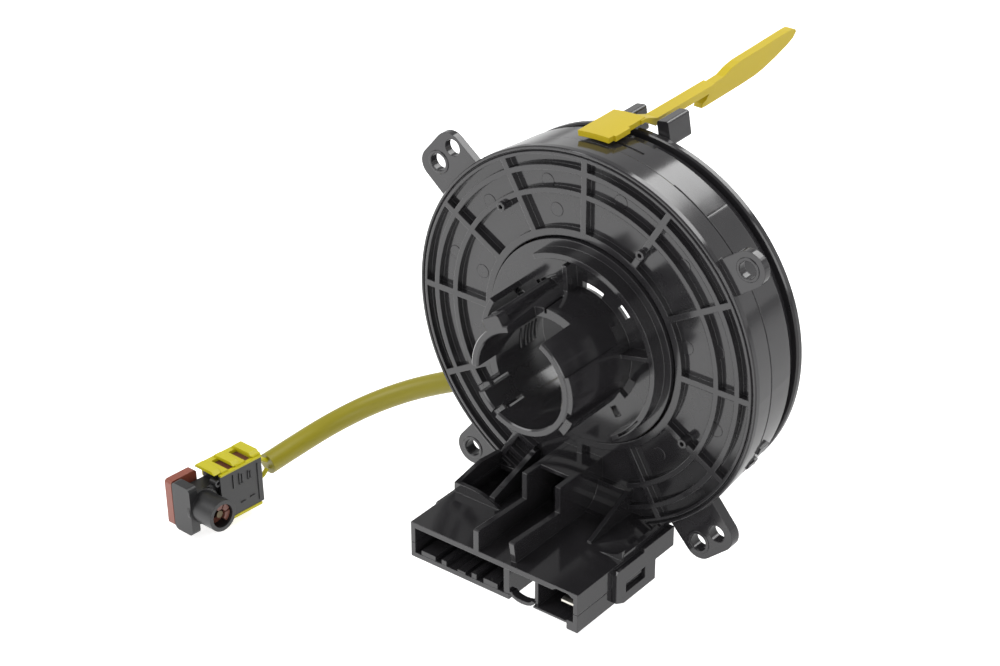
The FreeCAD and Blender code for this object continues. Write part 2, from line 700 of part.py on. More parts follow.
def blade_contact():
    """Wide flat blade with a split, turned up tip, in the right socket."""
    half = BLADE_WIDTH / 2
    low = -BLADE_HEIGHT - BLADE_THICKNESS / 2
    high = -BLADE_HEIGHT + BLADE_THICKNESS / 2
    blade = box(BLADE_X - half, BLADE_X + half, -BLADE_TIP, -PIN_TAIL, low, high)
    chamfer = prism_x([
        (-BLADE_TIP - 0.1, high - 0.5), (-BLADE_TIP - 0.1, high + 0.1), (-BLADE_TIP + 1.2, high + 0.1),
    ], BLADE_X - half - 1, BLADE_X + half + 1)
    return blade.cut(chamfer)


def stator_lead_frame():
    """Conductor carrier from the cable's outer end down to the plug contacts."""
    way = DECK_RIB_X - DECK_RIB / 2 - 0.4
    thick = 1.6
    level = -BLOCK_TOP + 3.0
    low = -PIN_HEIGHT - 0.8
    parts = [
        box(-way, way, -5.0, COVER_BACK + 0.4, level - thick / 2, level + thick / 2),
        box(-way, way, -5.0 - thick, -5.0 + 0.2, low, level + thick / 2),
        box(-25.0, 25.0, -PIN_TAIL, -5.0, low, low + thick),
    ]
    return joined(parts)


# Flat cable and the pieces that end and guide it

def outer_joint_block():
    """Block at the cable's outer end, on the inside of the case, with a foot to the carrier."""
    outer = CASE_BORE
    inner = outer - JOINT_BLOCK
    low = 270 - JOINT_HALF_ANGLE
    high = 270 + JOINT_HALF_ANGLE
    front = COVER_BACK + 0.4
    back = CABLE_FRONT + CABLE_WIDTH
    body = ring(inner, outer, CABLE_FRONT - 0.2, back, low, high)
    foot = ring(BLOCK_TOP - 4.6, outer, front, CABLE_FRONT - 0.2, 270 - 4, 270 + 4)
    return joined([body, foot])


def front_slip_sheet():
    """Thin sheet that the cable slides on, behind the cover's floor."""
    outer = CASE_BORE - 0.3
    sheet = ring(DRUM_RADIUS + 1.6, outer, COVER_BACK, COVER_BACK + SHEET_THICKNESS)
    notch = ring(BLOCK_TOP - 6.0, outer + 1, COVER_BACK - 1, COVER_BACK + 1, 270 - 6, 270 + 6)
    return sheet.cut(notch)


def rear_slip_sheet():
    """Thin sheet on the flange, behind the cable."""
    rear = FLANGE_FRONT
    outer = CASE_RADIUS - CASE_DRAW - CASE_WALL - 0.6
    return ring(DRUM_RADIUS, outer, rear - SHEET_THICKNESS, rear)


def inner_joint_block():
    """Block at the cable's inner end, on the drum."""
    outer = DRUM_RADIUS + JOINT_BLOCK
    return ring(DRUM_RADIUS, outer, CABLE_FRONT, CABLE_FRONT + CABLE_WIDTH, 82, 98)


def flat_cable():
    """Coiled ribbon, drawn as half circles that step inwards by half a pitch."""
    thick = CABLE_THICKNESS
    back = CABLE_FRONT + CABLE_WIDTH
    parts = []
    radius = CABLE_OUTER
    offset = 0.0
    for half_turn in range(CABLE_TURNS * 2):
        outer = []
        inner = []
        steps = 20
        sign = 1 if half_turn % 2 == 0 else -1
        for step in range(steps + 1):
            degrees = 180.0 * step / steps
            if sign < 0:
                degrees += 180.0
            x, z = polar(radius, degrees)
            outer.append((x + offset, z))
            x, z = polar(radius - thick, degrees)
            inner.append((x + offset, z))
        parts.append(prism_y(outer + inner[::-1], CABLE_FRONT, back))
        step_in = CABLE_PITCH / 4
        offset += sign * step_in
        radius -= step_in
    return joined(parts)


# Rotor

def hub_sleeve():
    """Sleeve that takes the column, with its web, snap features and slots."""
    front = -SLEEVE_LENGTH
    sleeve = turned([
        (BORE_RADIUS, front + 0.5), (BORE_RADIUS + 0.5, front), (SLEEVE_FRONT_RADIUS - 0.4, front),
        (SLEEVE_FRONT_RADIUS, front + 0.4), (SLEEVE_ROOT_RADIUS, -RING_WALL_HEIGHT - WEB_FRONT),
        (SLEEVE_ROOT_RADIUS, -WEB_FRONT), (BORE_RADIUS + SKIRT_WALL, WEB_REAR),
        (BORE_RADIUS, WEB_REAR),
    ])
    web = ring(BORE_RADIUS + 1, DRUM_RADIUS, -WEB_FRONT, WEB_REAR)
    ring_front = -WEB_FRONT - RING_WALL_HEIGHT
    parts = [
        web,
        ring(RING_WALL_RADIUS - RING_WALL, RING_WALL_RADIUS, ring_front, -WEB_FRONT + 0.1,
             -58, 117),
        bar(12, SLEEVE_ROOT_RADIUS - 1, RING_WALL_RADIUS - 1, 1.4, ring_front, -WEB_FRONT + 0.1),
        bar(95, SLEEVE_ROOT_RADIUS - 1, 27.5, 1.6, ring_front, -WEB_FRONT + 0.1),
        # Upright wall of the arm at the upper left
        ring(24.9, 26.7, -15.0, -WEB_FRONT + 0.1, 150, 171),
        # Thick walls on the right flank of the sleeve
        ring(BORE_RADIUS, 19.3, front + 0.3, ring_front, -13, 24),
        ring(BORE_RADIUS, 20.3, front + 0.6, ring_front, -38, -21),
        key_bar(),
    ]
    slots = [
        # Front edge set back at the left, and the open window at the top
        ring(BORE_RADIUS - 1, 19.6, front - 1, -22.0, 181, 205),
        ring(BORE_RADIUS - 1, SLEEVE_ROOT_RADIUS + 0.4, front - 1, -17.3, 63, 105),
        # Groove along the top of the sleeve behind the window
        bar(92, BORE_RADIUS + 1.6, SLEEVE_ROOT_RADIUS + 1, 0.8, -17.5, -8.5),
    ]
    for degrees in (-150.5, -120.5):
        slots.append(bar(degrees, BORE_RADIUS - 2, 22, SLEEVE_SLOT, -26.6, -18.5))
    for degrees in (-152, -123):
        slots.append(bar(degrees, BORE_RADIUS - 2, 22, SLEEVE_NOTCH, front - 1, front + 3.5))
    sleeve = without(sleeve, slots)
    solid = joined([sleeve] + parts)
    tools = [
        rod(0, 0, BORE_RADIUS, front - 2, WEB_REAR + 2),
        # Moulding slots through the web
        web_slot(19.3, 21.3, 1.6, 66, 87.5),
        web_slot(21.6, 23.6, 1.6, 39, 50),
        web_slot(19.3, 21.8, 1.0, -38, -17.5),
        ring(21.3, 22.2, -WEB_FRONT - 0.1, WEB_REAR + 1, 114, 131.5),
        ring(21.3, 22.7, -WEB_FRONT - 0.1, WEB_REAR + 1, 133, 136.6),
        ring(22.0, 25.6, -WEB_FRONT - 0.1, WEB_REAR + 1, -57, -51),
        bar(156.7, 22.9, 25.0, 2.8, -WEB_FRONT - 0.1, WEB_REAR + 1),
        # Slot in the free end of the ring wall
        ring(RING_WALL_RADIUS - RING_WALL + 0.5, RING_WALL_RADIUS - 0.5, ring_front - 1,
             ring_front + 2.0, -52, -32),
    ]
    return without(solid, tools)


def web_slot(inner, outer, slant, start, end):
    """Moulding slot through the web, whose inner wall leans towards the axis at the rear."""
    front = -WEB_FRONT - 0.1
    rear = WEB_REAR + 1
    return turned([(inner, front), (outer, front), (outer, rear), (inner - slant, rear)],
                  start, end - start)


def key_bar():
    """Rounded bar along the sleeve's outside with a square block at its front end."""
    x, z = polar(KEY_PLACE, KEY_ANGLE)
    body = rod(x, z, KEY_RADIUS, KEY_TIP - SLEEVE_LENGTH, -WEB_FRONT + 0.1)
    tip = bar(KEY_ANGLE - 3.5, KEY_PLACE - KEY_RADIUS, KEY_PLACE + KEY_RADIUS - 0.5, KEY_TIP_WIDTH,
              -SLEEVE_LENGTH, KEY_TIP - SLEEVE_LENGTH + 0.1)
    tip = tip.makeFillet(0.8, [edge for edge in tip.Edges if along_y(edge)])
    return body.fuse(tip)


def rotor_disc():
    """Drum and rear flange in one, with the rear ribs, collar and tower posts."""
    rear = FLANGE_REAR
    profile = turned([
        (DRUM_BORE, WEB_REAR), (DRUM_RADIUS, WEB_REAR), (DRUM_RADIUS, FLANGE_FRONT),
        (FLANGE_RADIUS - 0.5, FLANGE_FRONT), (FLANGE_RADIUS, FLANGE_FRONT + 0.5),
        (FLANGE_RADIUS, rear - 0.6), (FLANGE_RADIUS - 0.6, rear),
        (DRUM_BORE, rear),
    ])
    high = rear + REAR_RIB_HEIGHT
    parts = [
        profile,
        ring(DRUM_BORE, DRUM_RADIUS, rear - 0.1, rear + REAR_COLLAR_HEIGHT),
        ring(FLANGE_RADIUS - 4.2, FLANGE_RADIUS - 2.6, rear - 0.1, rear + 2.4, -118, 218),
    ]
    for degrees in (0, 30, 60, 120, 150, 180, 210, 255, 330):
        parts.append(gusset_rib(degrees, rear, high))
    tower = [
        post(RIGHT_POST_X, POST_TOP), post(LEFT_POST_X, LOW_POST_TOP),
        box(LEFT_POST_X, RIGHT_POST_X + POST_WIDTH, rear - 0.1, rear + 2.6,
            POST_BOTTOM - 3, POST_BOTTOM + 1.2),
    ]
    for piece in tower:
        piece.rotate(ORIGIN, TURN_AXIS, POST_TILT)
    parts += tower
    return joined(parts)


def gusset_rib(degrees, rear, high):
    """Rear stiffening rib that slopes down to the flange's edge."""
    outline = [
        (DRUM_RADIUS - 0.5, rear - 0.1), (DRUM_RADIUS - 0.5, high), (DRUM_RADIUS + 6.0, high),
        (FLANGE_RADIUS - 3.4, rear + 2.0), (FLANGE_RADIUS - 3.4, rear - 0.1),
    ]
    points = [vec(radius, y, -0.8) for radius, y in outline]
    rib = Part.Face(Part.makePolygon(points + points[:1])).extrude(vec(0, 0, 1.6))
    rib.rotate(ORIGIN, TURN_AXIS, degrees)
    return rib


def post(left, top):
    """Tower on the back of the flange that guides the tab's arm, drawn upright."""
    body = box(left, left + POST_WIDTH, FLANGE_REAR - 0.1, POST_REAR, POST_BOTTOM, top)
    return body.makeFillet(0.8, [edge for edge in body.Edges if along_y(edge)])


def along_y(edge):
    """True for a straight edge along the column axis."""
    direction = edge.Vertexes[-1].Point - edge.Vertexes[0].Point
    return abs(direction.x) + abs(direction.z) < 1e-6


def wheel_socket():
    """Plug socket on the wheel side, opening towards the steering wheel."""
    left = WHEEL_SOCKET_X
    right = left + WHEEL_SOCKET_WIDTH
    high = -WHEEL_SOCKET_TOP
    low = high - WHEEL_SOCKET_HEIGHT
    front = FLANGE_REAR
    rear = front + WHEEL_SOCKET_DEPTH
    shell = box(left, right, front, rear, low, high)
    shell = shell.makeFillet(1.0, [edge for edge in shell.Edges if along_y(edge)])
    wall = BLOCK_WALL
    hollow = box(left + wall, right - wall, front + WHEEL_SOCKET_FLOOR, rear + 1, low + wall,
                 high - wall)
    return shell.cut(hollow)


def wheel_terminals():
    """Pins of the wheel side socket on their carrier."""
    half = PIN_WIDTH / 2
    floor = FLANGE_REAR + WHEEL_SOCKET_FLOOR
    tip = FLANGE_REAR + WHEEL_SOCKET_DEPTH - 3.0
    centre_x = WHEEL_SOCKET_X + WHEEL_SOCKET_WIDTH / 2
    centre_z = -WHEEL_SOCKET_TOP - WHEEL_SOCKET_HEIGHT / 2
    row = PIN_PITCH / 2
    reach = PIN_PITCH * (WHEEL_PINS - 1) / 2
    pins = []
    for index in range(WHEEL_PINS):
        x = centre_x - reach + index * PIN_PITCH
        for z in (centre_z - row, centre_z + row):
            pins.append(box(x - half, x + half, floor, tip, z - half, z + half))
    plate = box(centre_x - reach - 1.2, centre_x + reach + 1.2, floor, floor + 0.8,
                centre_z - row - 1.0, centre_z + row + 1.0)
    return joined(pins + [plate])


def rotor_lead_frame():
    """Conductor carrier from the drum to the wheel side socket."""
    return box(WHEEL_SOCKET_X, WHEEL_SOCKET_X + 15.0, FLANGE_REAR, FLANGE_REAR + 1.6,
               -WHEEL_SOCKET_TOP, -DRUM_RADIUS)


# Lock tab

def lock_tab():
    """Yellow tab: curved foot over the case, arm between the posts and pull paddle."""
    inner = TAB_INNER
    outer = TAB_OUTER
    foot = joined([
        ring(inner, outer, TAB_FRONT, TAB_REAR, 88.5, 98.6),
        ring(inner, outer, TAB_FRONT + 2.4, TAB_FRONT + 9.6, 87.7, 88.7),
    ])
    half_arm = TAB_ARM_WIDTH / 2
    top = TAB_ARM_TOP
    low = top - TAB_ARM_HEIGHT
    start = PADDLE_FRONT
    end = PADDLE_FRONT + PADDLE_LENGTH
    arm = prism_x([
        (TAB_REAR - 2.4, inner + 0.3), (TAB_REAR - 2.4, outer - 0.2), (TAB_REAR + 0.4, outer - 0.4),
        (TAB_REAR + 6.0, top), (start + 6.0, top), (start + 6.0, low), (TAB_REAR + 5.0, low),
        (TAB_REAR - 0.2, inner + 0.3),
    ], -half_arm, half_arm)
    half = PADDLE_THICKNESS / 2
    paddle = prism_x([
        (start, top - 6.3), (start + 0.6, top - 5.0), (start + 2.4, top - 4.4),
        (start + 4.6, low + 0.2), (start + 4.6, top - 0.2), (start + 11.8, top),
        (start + 16.2, top + 1.4), (start + 20.5, top + 2.0), (start + 35.4, top + 2.3),
        (end - 4.6, top + 2.6), (end - 2.0, top + 2.5), (end - 0.3, top + 1.8), (end, top + 0.9),
        (end - 1.5, top - 0.6), (end - 4.8, top - 1.9), (end - 11.7, top - 3.8),
        (end - 18.6, top - 5.3), (end - 23.0, top - 5.9), (start + 21.6, top - 6.2),
        (start + 2.6, top - 6.4),
    ], -half, half)
    return joined([foot, arm, paddle])


# Lead

SHEATH_ROUTE = [
    (-39.0, 35.8, -46.8), (-51.0, 36.1, -48.8), (-66.0, 36.2, -54.0), (-81.0, 34.6, -60.8),
    (-94.5, 30.4, -67.2), (-105.8, 22.4, -73.4), (-113.0, 11.0, -78.2),
    (-117.0, -2.4, -81.7), (-118.7, -14.9, -83.4),
]

# Squib plug axes: towards the lead, out of the barrel, and upwards
PLUG_BACK = vec(0.0955, 0.9953, -0.0073)
PLUG_OUT = vec(0.9938, -0.0953, 0.0488)
PLUG_PLACE = vec(-119.4, -22.6, -83.6)


def arc_path(points):
    """Straight runs joined by tangent arcs, as large as the runs allow."""
    places = [vec(*point) for point in points]
    edges = []
    radii = []
    last = places[0]
    for index in range(1, len(places) - 1):
        before, corner, after = places[index - 1], places[index], places[index + 1]
        run_in = corner - before
        run_out = after - corner
        turn = run_in.getAngle(run_out)
        shorter = min(run_in.Length, run_out.Length)
        setback = 0.45 * shorter
        radii.append(setback / math.tan(turn / 2))
        into = FreeCAD.Vector(run_in).normalize()
        away = FreeCAD.Vector(run_out).normalize()
        first = corner - into * setback
        third = corner + away * setback
        bisector = (away - into).normalize()
        sagitta = radii[-1] * (1 / math.cos(turn / 2) - 1)
        middle = corner + bisector * sagitta
        edges.append(Part.LineSegment(last, first).toShape())
        edges.append(Part.Arc(first, middle, third).toShape())
        last = third
    edges.append(Part.LineSegment(last, places[-1]).toShape())
    return Part.Wire(edges), radii


def tube(points, diameter, label):
    """Round cord along an arc path, with its radii and volume printed."""
    path, radii = arc_path(points)
    start = vec(*points[0])
    direction = (vec(*points[1]) - start).normalize()
    circle = Part.Wire(Part.makeCircle(diameter / 2, start, direction))
    solid = path.makePipeShell([circle], True, False)
    section = math.pi * diameter ** 2 / 4
    print(label, "length", round(path.Length, 1), "radii", [round(r, 1) for r in radii],
          "volume ratio", round(solid.Volume / (section * path.Length), 4))
    return solid


def lead_sheath():
    """Yellow sheath of the squib lead."""
    return tube(SHEATH_ROUTE, SHEATH_DIAMETER, "lead_sheath")


def lead_exit():
    """Strain relief that holds the sheath on the back of the flange."""
    start = vec(*SHEATH_ROUTE[0])
    along = (vec(*SHEATH_ROUTE[1]) - start).normalize()
    outer = SHEATH_DIAMETER / 2 + 1.2
    collar = Part.makeCylinder(outer, EXIT_LENGTH, start - along * EXIT_LENGTH, along)
    foot = box(start.x + 1.5, start.x + 7.5, FLANGE_REAR, start.y, start.z - 2.0, start.z + 4.0)
    return joined([collar, foot])


def plug_frame():
    """Placement matrix of the squib plug: X out of the barrel, Y to the lead, Z up."""
    up = PLUG_OUT.cross(PLUG_BACK).normalize()
    back = up.cross(PLUG_OUT).normalize()
    out = PLUG_OUT
    return FreeCAD.Matrix(
        out.x, back.x, up.x, PLUG_PLACE.x,
        out.y, back.y, up.y, PLUG_PLACE.y,
        out.z, back.z, up.z, PLUG_PLACE.z,
        0, 0, 0, 1)


def moved(solid):
    """Solid drawn in the plug's own frame, moved to where the plug lies."""
    copy = solid.copy()
    copy.Placement = FreeCAD.Placement(plug_frame()).multiply(copy.Placement)
    return copy


def squib_body():
    """Plug body with its barrel, waist and end plate, in the plug's frame."""
    half = PLUG_THICKNESS / 2
    tall = PLUG_HEIGHT / 2
    end = -PLUG_LENGTH
    barrel_y = -BARREL_SETBACK
    body = box(-half, half, -16.5, 0, -tall, tall)
    body = body.makeFillet(1.0, [edge for edge in body.Edges if along_y(edge)])
    waist = box(-half + 1.4, half - 1.4, end + 3.0, -16.0, -tall + 2.6, tall - 2.6)
    plate = box(-half, half, end, end + 3.4, -tall - 0.4, tall + 0.4)
    plate = plate.makeFillet(1.6, [edge for edge in plate.Edges if along_y(edge)])
    face = PLUG_THICKNESS / 2
    barrel = Part.makeCylinder(BARREL_RADIUS, BARREL_STAND + 1.6, vec(face - 1.6, barrel_y, 0),
                               vec(1, 0, 0))
    seat = Part.makeCylinder(BARREL_RADIUS + 0.8, 1.2, vec(face - 1.5, barrel_y, 0), vec(1, 0, 0))
    solid = joined([body, waist, plate, barrel, seat])
    bore = Part.makeCylinder(BARREL_BORE, BARREL_STAND + 1, vec(face + 0.6, barrel_y, 0),
                             vec(1, 0, 0))
    shaft = Part.makeCylinder(1.25, BARREL_STAND * 3, vec(-PLUG_THICKNESS, barrel_y, 0),
                              vec(1, 0, 0))
    entries = [wire_entry(side) for side in (-1, 1)]
    return moved(without(solid, [bore, shaft] + entries))


def wire_entry(side):
    """Round hole for a wire in the plug's rear face."""
    return Part.makeCylinder(WIRE_DIAMETER / 2, WIRE_DEPTH + 1,
                             vec(0, -WIRE_DEPTH, side * WIRE_SPREAD), vec(0, 1, 0))


def squib_insert():
    """Brown keyed insert in the barrel."""
    face = PLUG_THICKNESS / 2
    bottom = face + 0.6
    sleeve = Part.makeCylinder(BARREL_BORE, 4.4, vec(bottom, -BARREL_SETBACK, 0), vec(1, 0, 0))
    hole = Part.makeCylinder(2.2, 8.0, vec(bottom + 1.2, -BARREL_SETBACK, 0), vec(1, 0, 0))
    key = box(bottom + 1.2, bottom + 5.4, -BARREL_SETBACK - 0.7, -BARREL_SETBACK + 0.7,
              BARREL_BORE - 0.9, BARREL_BORE - 2.3)
    shaft = Part.makeCylinder(1.25, 20.0, vec(bottom - 1.0, -BARREL_SETBACK, 0), vec(1, 0, 0))
    return moved(joined([sleeve.cut(hole), key]).cut(shaft))


def squib_contacts():
    """Contact core in the middle of the barrel."""
    face = PLUG_THICKNESS / 2
    return moved(Part.makeCylinder(1.25, BARREL_STAND - 1.6, vec(face, -BARREL_SETBACK, 0),
                                   vec(1, 0, 0)))


def squib_clip():
    """Yellow clip over the top edge of the plug, with two square windows."""
    half = PLUG_THICKNESS / 2
    tall = PLUG_HEIGHT / 2
    reach = -CLIP_LENGTH + 0.6
    roof = box(-half - 0.8, half + 0.8, -16.3, 0.6, tall, tall + CLIP_THICKNESS)
    tongue = box(-half + 1.6, half - 1.6, reach, -16.3, tall + 0.2, tall + CLIP_THICKNESS)
    front = box(half, half + 0.8, -16.3, 0.6, tall - CLIP_DROP, tall + 0.1)
    rear = box(-half - 0.8, -half, -16.3, 0.6, tall - CLIP_DROP, tall + 0.1)
    solid = joined([roof, tongue, front, rear])
    cuts = []
    for y in (-4.5, -12.0):
        cuts.append(box(-half + 1.4, half + 2, y - 1.7, y + 1.7, tall - 1.2,
                        tall + CLIP_THICKNESS + 1))
    return moved(without(solid, cuts))


def squib_lock():
    """Orange lock slide on the plug's back."""
    half = PLUG_THICKNESS / 2
    tall = PLUG_HEIGHT / 2
    start = -PLUG_LENGTH
    outer = -half - TAB_CLEAR
    plate = box(outer - SLIDE_THICKNESS, outer, start, start + SLIDE_LENGTH, -tall, tall)
    plate = plate.makeFillet(1.2, [edge for edge in plate.Edges if abs(
        edge.Vertexes[-1].Point.y - edge.Vertexes[0].Point.y) < 1e-6 and abs(
        edge.Vertexes[-1].Point.z - edge.Vertexes[0].Point.z) < 1e-6])
    return moved(plate)


def lead_wires():
    """Two thin wires between sheath and plug, bowed apart."""
    matrix = plug_frame()
    wires = []
    start = vec(*SHEATH_ROUTE[-1])
    for side in (-1, 1):
        entry = matrix.multVec(vec(0, -WIRE_DEPTH, side * WIRE_SPREAD))
        mouth = matrix.multVec(vec(0, 1.6, side * WIRE_SPREAD))
        bow = matrix.multVec(vec(0, 4.8, side * (WIRE_SPREAD + 1.2)))
        leave = start + vec(0, -0.4, side * 1.6)
        path, _ = arc_path([tuple(entry), tuple(mouth), tuple(bow), tuple(leave)])
        direction = (mouth - entry).normalize()
        circle = Part.Wire(Part.makeCircle(WIRE_DIAMETER / 2, entry, direction))
        wires.append(path.makePipeShell([circle], True, False))
    sheath = lead_sheath()
    return Part.makeCompound([wire.cut(sheath) for wire in wires])


def build():
    """Make every node and write it to its own file."""
    contacts = [left_terminals(), right_terminals(), blade_contact()]
    nodes = {
        "column_cover": column_cover(),
        "outer_case": outer_case(),
        "connector_base": connector_base(contacts),
        "left_terminals": contacts[0],
        "right_terminals": contacts[1],
        "blade_contact": contacts[2],
        "stator_lead_frame": stator_lead_frame(),
        "outer_joint_block": outer_joint_block(),
        "flat_cable": flat_cable(),
        "front_slip_sheet": front_slip_sheet(),
        "hub_sleeve": hub_sleeve(),
        "rotor_disc": rotor_disc(),
        "rear_slip_sheet": rear_slip_sheet(),
        "inner_joint_block": inner_joint_block(),
        "wheel_socket": wheel_socket(),
        "wheel_terminals": wheel_terminals(),
        "rotor_lead_frame": rotor_lead_frame(),
        "lock_tab": lock_tab(),
        "lead_exit": lead_exit(),
        "lead_sheath": lead_sheath(),
        "lead_wires": lead_wires(),
        "squib_body": squib_body(),
        "squib_clip": squib_clip(),
        "squib_insert": squib_insert(),
        "squib_contacts": squib_contacts(),
        "squib_lock": squib_lock(),
    }
    os.makedirs("parts", exist_ok=True)
    for name, shape in nodes.items():
        solids = shape.Solids
        print(name, "valid" if shape.isValid() else "NOT VALID", "solids", len(solids),
              "volume", round(shape.Volume, 1))
        shape.exportStep("parts/" + name + ".step")


build()
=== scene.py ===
"""Looks of a steering clock spring: finishes, fine detail, squib lead and studio.

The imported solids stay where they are. This script gives each of them the finish of
the real part, adds what is too fine for the solids, and sets up the light and the
camera of a plain product photograph.
"""

import json
import logging
import math
from dataclasses import dataclass
from enum import Enum

import bmesh
import bpy
from mathutils import Matrix, Vector

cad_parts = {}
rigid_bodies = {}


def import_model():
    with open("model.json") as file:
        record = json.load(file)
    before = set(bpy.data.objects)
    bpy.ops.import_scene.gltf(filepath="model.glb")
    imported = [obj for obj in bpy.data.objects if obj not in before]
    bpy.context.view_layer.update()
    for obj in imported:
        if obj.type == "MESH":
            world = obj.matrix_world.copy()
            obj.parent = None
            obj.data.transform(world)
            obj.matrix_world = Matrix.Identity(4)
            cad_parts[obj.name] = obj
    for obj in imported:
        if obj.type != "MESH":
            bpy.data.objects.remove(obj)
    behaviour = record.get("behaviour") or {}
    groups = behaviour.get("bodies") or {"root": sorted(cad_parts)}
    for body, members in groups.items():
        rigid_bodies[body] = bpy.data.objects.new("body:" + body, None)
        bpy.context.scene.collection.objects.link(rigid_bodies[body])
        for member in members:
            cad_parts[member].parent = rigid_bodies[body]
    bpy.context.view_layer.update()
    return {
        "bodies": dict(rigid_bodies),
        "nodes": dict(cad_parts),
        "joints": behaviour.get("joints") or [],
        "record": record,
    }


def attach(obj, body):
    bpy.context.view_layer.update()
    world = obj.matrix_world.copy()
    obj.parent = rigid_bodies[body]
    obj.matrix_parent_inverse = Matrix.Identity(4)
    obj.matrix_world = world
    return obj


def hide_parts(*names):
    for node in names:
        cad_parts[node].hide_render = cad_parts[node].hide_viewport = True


LOG = logging.getLogger("clock_spring")
# One millimetre in the metres of the scene.
MM = 0.001
# How far an added piece sinks into the solid that carries it, in millimetres.
SINK_MM = 0.1
FULL_TURN = 360.0
QUARTER_TURN = math.radians(90)
WHITE = (1.0, 1.0, 1.0, 1.0)

# Transfer curve of sRGB: straight up to the knee, a power above it.
SRGB_KNEE = 0.04045
SRGB_SLOPE = 12.92
SRGB_OFFSET = 0.055
SRGB_SCALE = 1.055
SRGB_POWER = 2.4


class Body(Enum):
    """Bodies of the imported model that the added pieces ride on."""

    STATOR = "stator"
    ROTOR = "rotor"


def linear(colour: str) -> tuple[float, float, float, float]:
    """Turn an sRGB hex colour into linear light.

    Args:
        colour: Six hex digits, with or without a leading hash.

    Returns:
        Red, green, blue and an alpha of one.
    """
    digits = colour.lstrip("#")
    channels = [int(digits[i:i + 2], 16) / 255 for i in (0, 2, 4)]
    light = [c / SRGB_SLOPE if c <= SRGB_KNEE
             else ((c + SRGB_OFFSET) / SRGB_SCALE) ** SRGB_POWER for c in channels]
    return light[0], light[1], light[2], 1.0


def add_node(tree: bpy.types.NodeTree, kind: str, options: dict | None = None,
             values: dict | None = None, links: dict | None = None) -> bpy.types.Node:
    """Add a node with its settings and links.

    Args:
        tree: Node tree that gets the node.
        kind: Blender's identifier of the node type.
        options: Attributes of the node, such as its operation.
        values: Socket values by socket name or number.
        links: Output sockets by the name or number of the input they feed.

    Returns:
        The new node.
    """
    node = tree.nodes.new(kind)
    for name, value in (options or {}).items():
        setattr(node, name, value)
    for name, value in (values or {}).items():
        node.inputs[name].default_value = value
    for name, source in (links or {}).items():
        tree.links.new(source, node.inputs[name])
    return node


@dataclass(frozen=True)
class Moulded:
    """Plastic skin, injection moulded unless its name says otherwise.

    Attributes:
        name: Name of the material.
        colour: Mean colour as sRGB hex.
        roughness: Mean roughness of the skin.
        ior: Refractive index, which sets how much the skin mirrors.
        shade: Share by which the colour can swing to either side.
        patch_mm: Size of the cloudy patches.
        rough_swing: Difference between the dullest and the glossiest patch.
        grain_mm: Size of the fine grain, coarser than the real one so that it shows.
        grain_depth_mm: Depth of the fine grain.
        ripple_depth_mm: Depth of the sink ripples.
        corner_mm: Radius that the shading gives to sharp corners.
        cloud_detail: Fineness of the patches' edges.
        cloud_roughness: How strongly that fineness shows.
        cloud_low: Pattern value of the glossiest patch.
        cloud_high: Pattern value of the dullest patch.
        grain_detail: Fineness within the grain.
        corner_samples: Rays that the corner shading takes.
    """

    name: str
    colour: str
    roughness: float
    ior: float = 1.5
    shade: float = 0.25
    patch_mm: float = 14.0
    rough_swing: float = 0.04
    grain_mm: float = 0.6
    grain_depth_mm: float = 0.004
    ripple_depth_mm: float = 0.02
    corner_mm: float = 0.2
    cloud_detail: float = 4.0
    cloud_roughness: float = 0.6
    cloud_low: float = 0.3
    cloud_high: float = 0.7
    grain_detail: float = 2.0
    corner_samples: int = 4

    def build(self) -> bpy.types.Material:
        """Make the material: slight cloudiness, soft corners, a fine grain and sink ripples.

        Returns:
            The finished material.
        """
        material = bpy.data.materials.new(self.name)
        material.use_nodes = True
        tree = material.node_tree
        shader = tree.nodes["Principled BSDF"]
        shader.inputs["IOR"].default_value = self.ior
        place = add_node(tree, "ShaderNodeTexCoord").outputs["Object"]
        cloud = add_node(tree, "ShaderNodeTexNoise",
                         values={"Scale": 1 / (self.patch_mm * MM),
                                 "Detail": self.cloud_detail,
                                 "Roughness": self.cloud_roughness},
                         links={"Vector": place}).outputs["Fac"]
        base = linear(self.colour)
        low = tuple(c * (1 - self.shade) for c in base[:3]) + (1.0,)
        high = tuple(min(1.0, c * (1 + self.shade)) for c in base[:3]) + (1.0,)
        tint = add_node(tree, "ShaderNodeMix", {"data_type": "RGBA"},
                        {6: low, 7: high}, {0: cloud}).outputs[2]
        tree.links.new(tint, shader.inputs["Base Color"])
        rough = add_node(tree, "ShaderNodeMapRange",
                         values={"From Min": self.cloud_low, "From Max": self.cloud_high,
                                 "To Min": self.roughness - self.rough_swing / 2,
                                 "To Max": self.roughness + self.rough_swing / 2},
                         links={"Value": cloud}).outputs["Result"]
        tree.links.new(rough, shader.inputs["Roughness"])
        grain = add_node(tree, "ShaderNodeTexNoise",
                         values={"Scale": 1 / (self.grain_mm * MM),
                                 "Detail": self.grain_detail},
                         links={"Vector": place}).outputs["Fac"]
        corner = add_node(tree, "ShaderNodeBevel", {"samples": self.corner_samples},
                          {"Radius": self.corner_mm * MM}).outputs["Normal"]
        fine = add_node(tree, "ShaderNodeBump",
                        values={"Strength": 1.0, "Distance": self.grain_depth_mm * MM},
                        links={"Height": grain, "Normal": corner}).outputs["Normal"]
        ripple = add_node(tree, "ShaderNodeBump",
                          values={"Strength": 1.0, "Distance": self.ripple_depth_mm * MM},
                          links={"Height": cloud, "Normal": fine}).outputs["Normal"]
        tree.links.new(ripple, shader.inputs["Normal"])
        return material


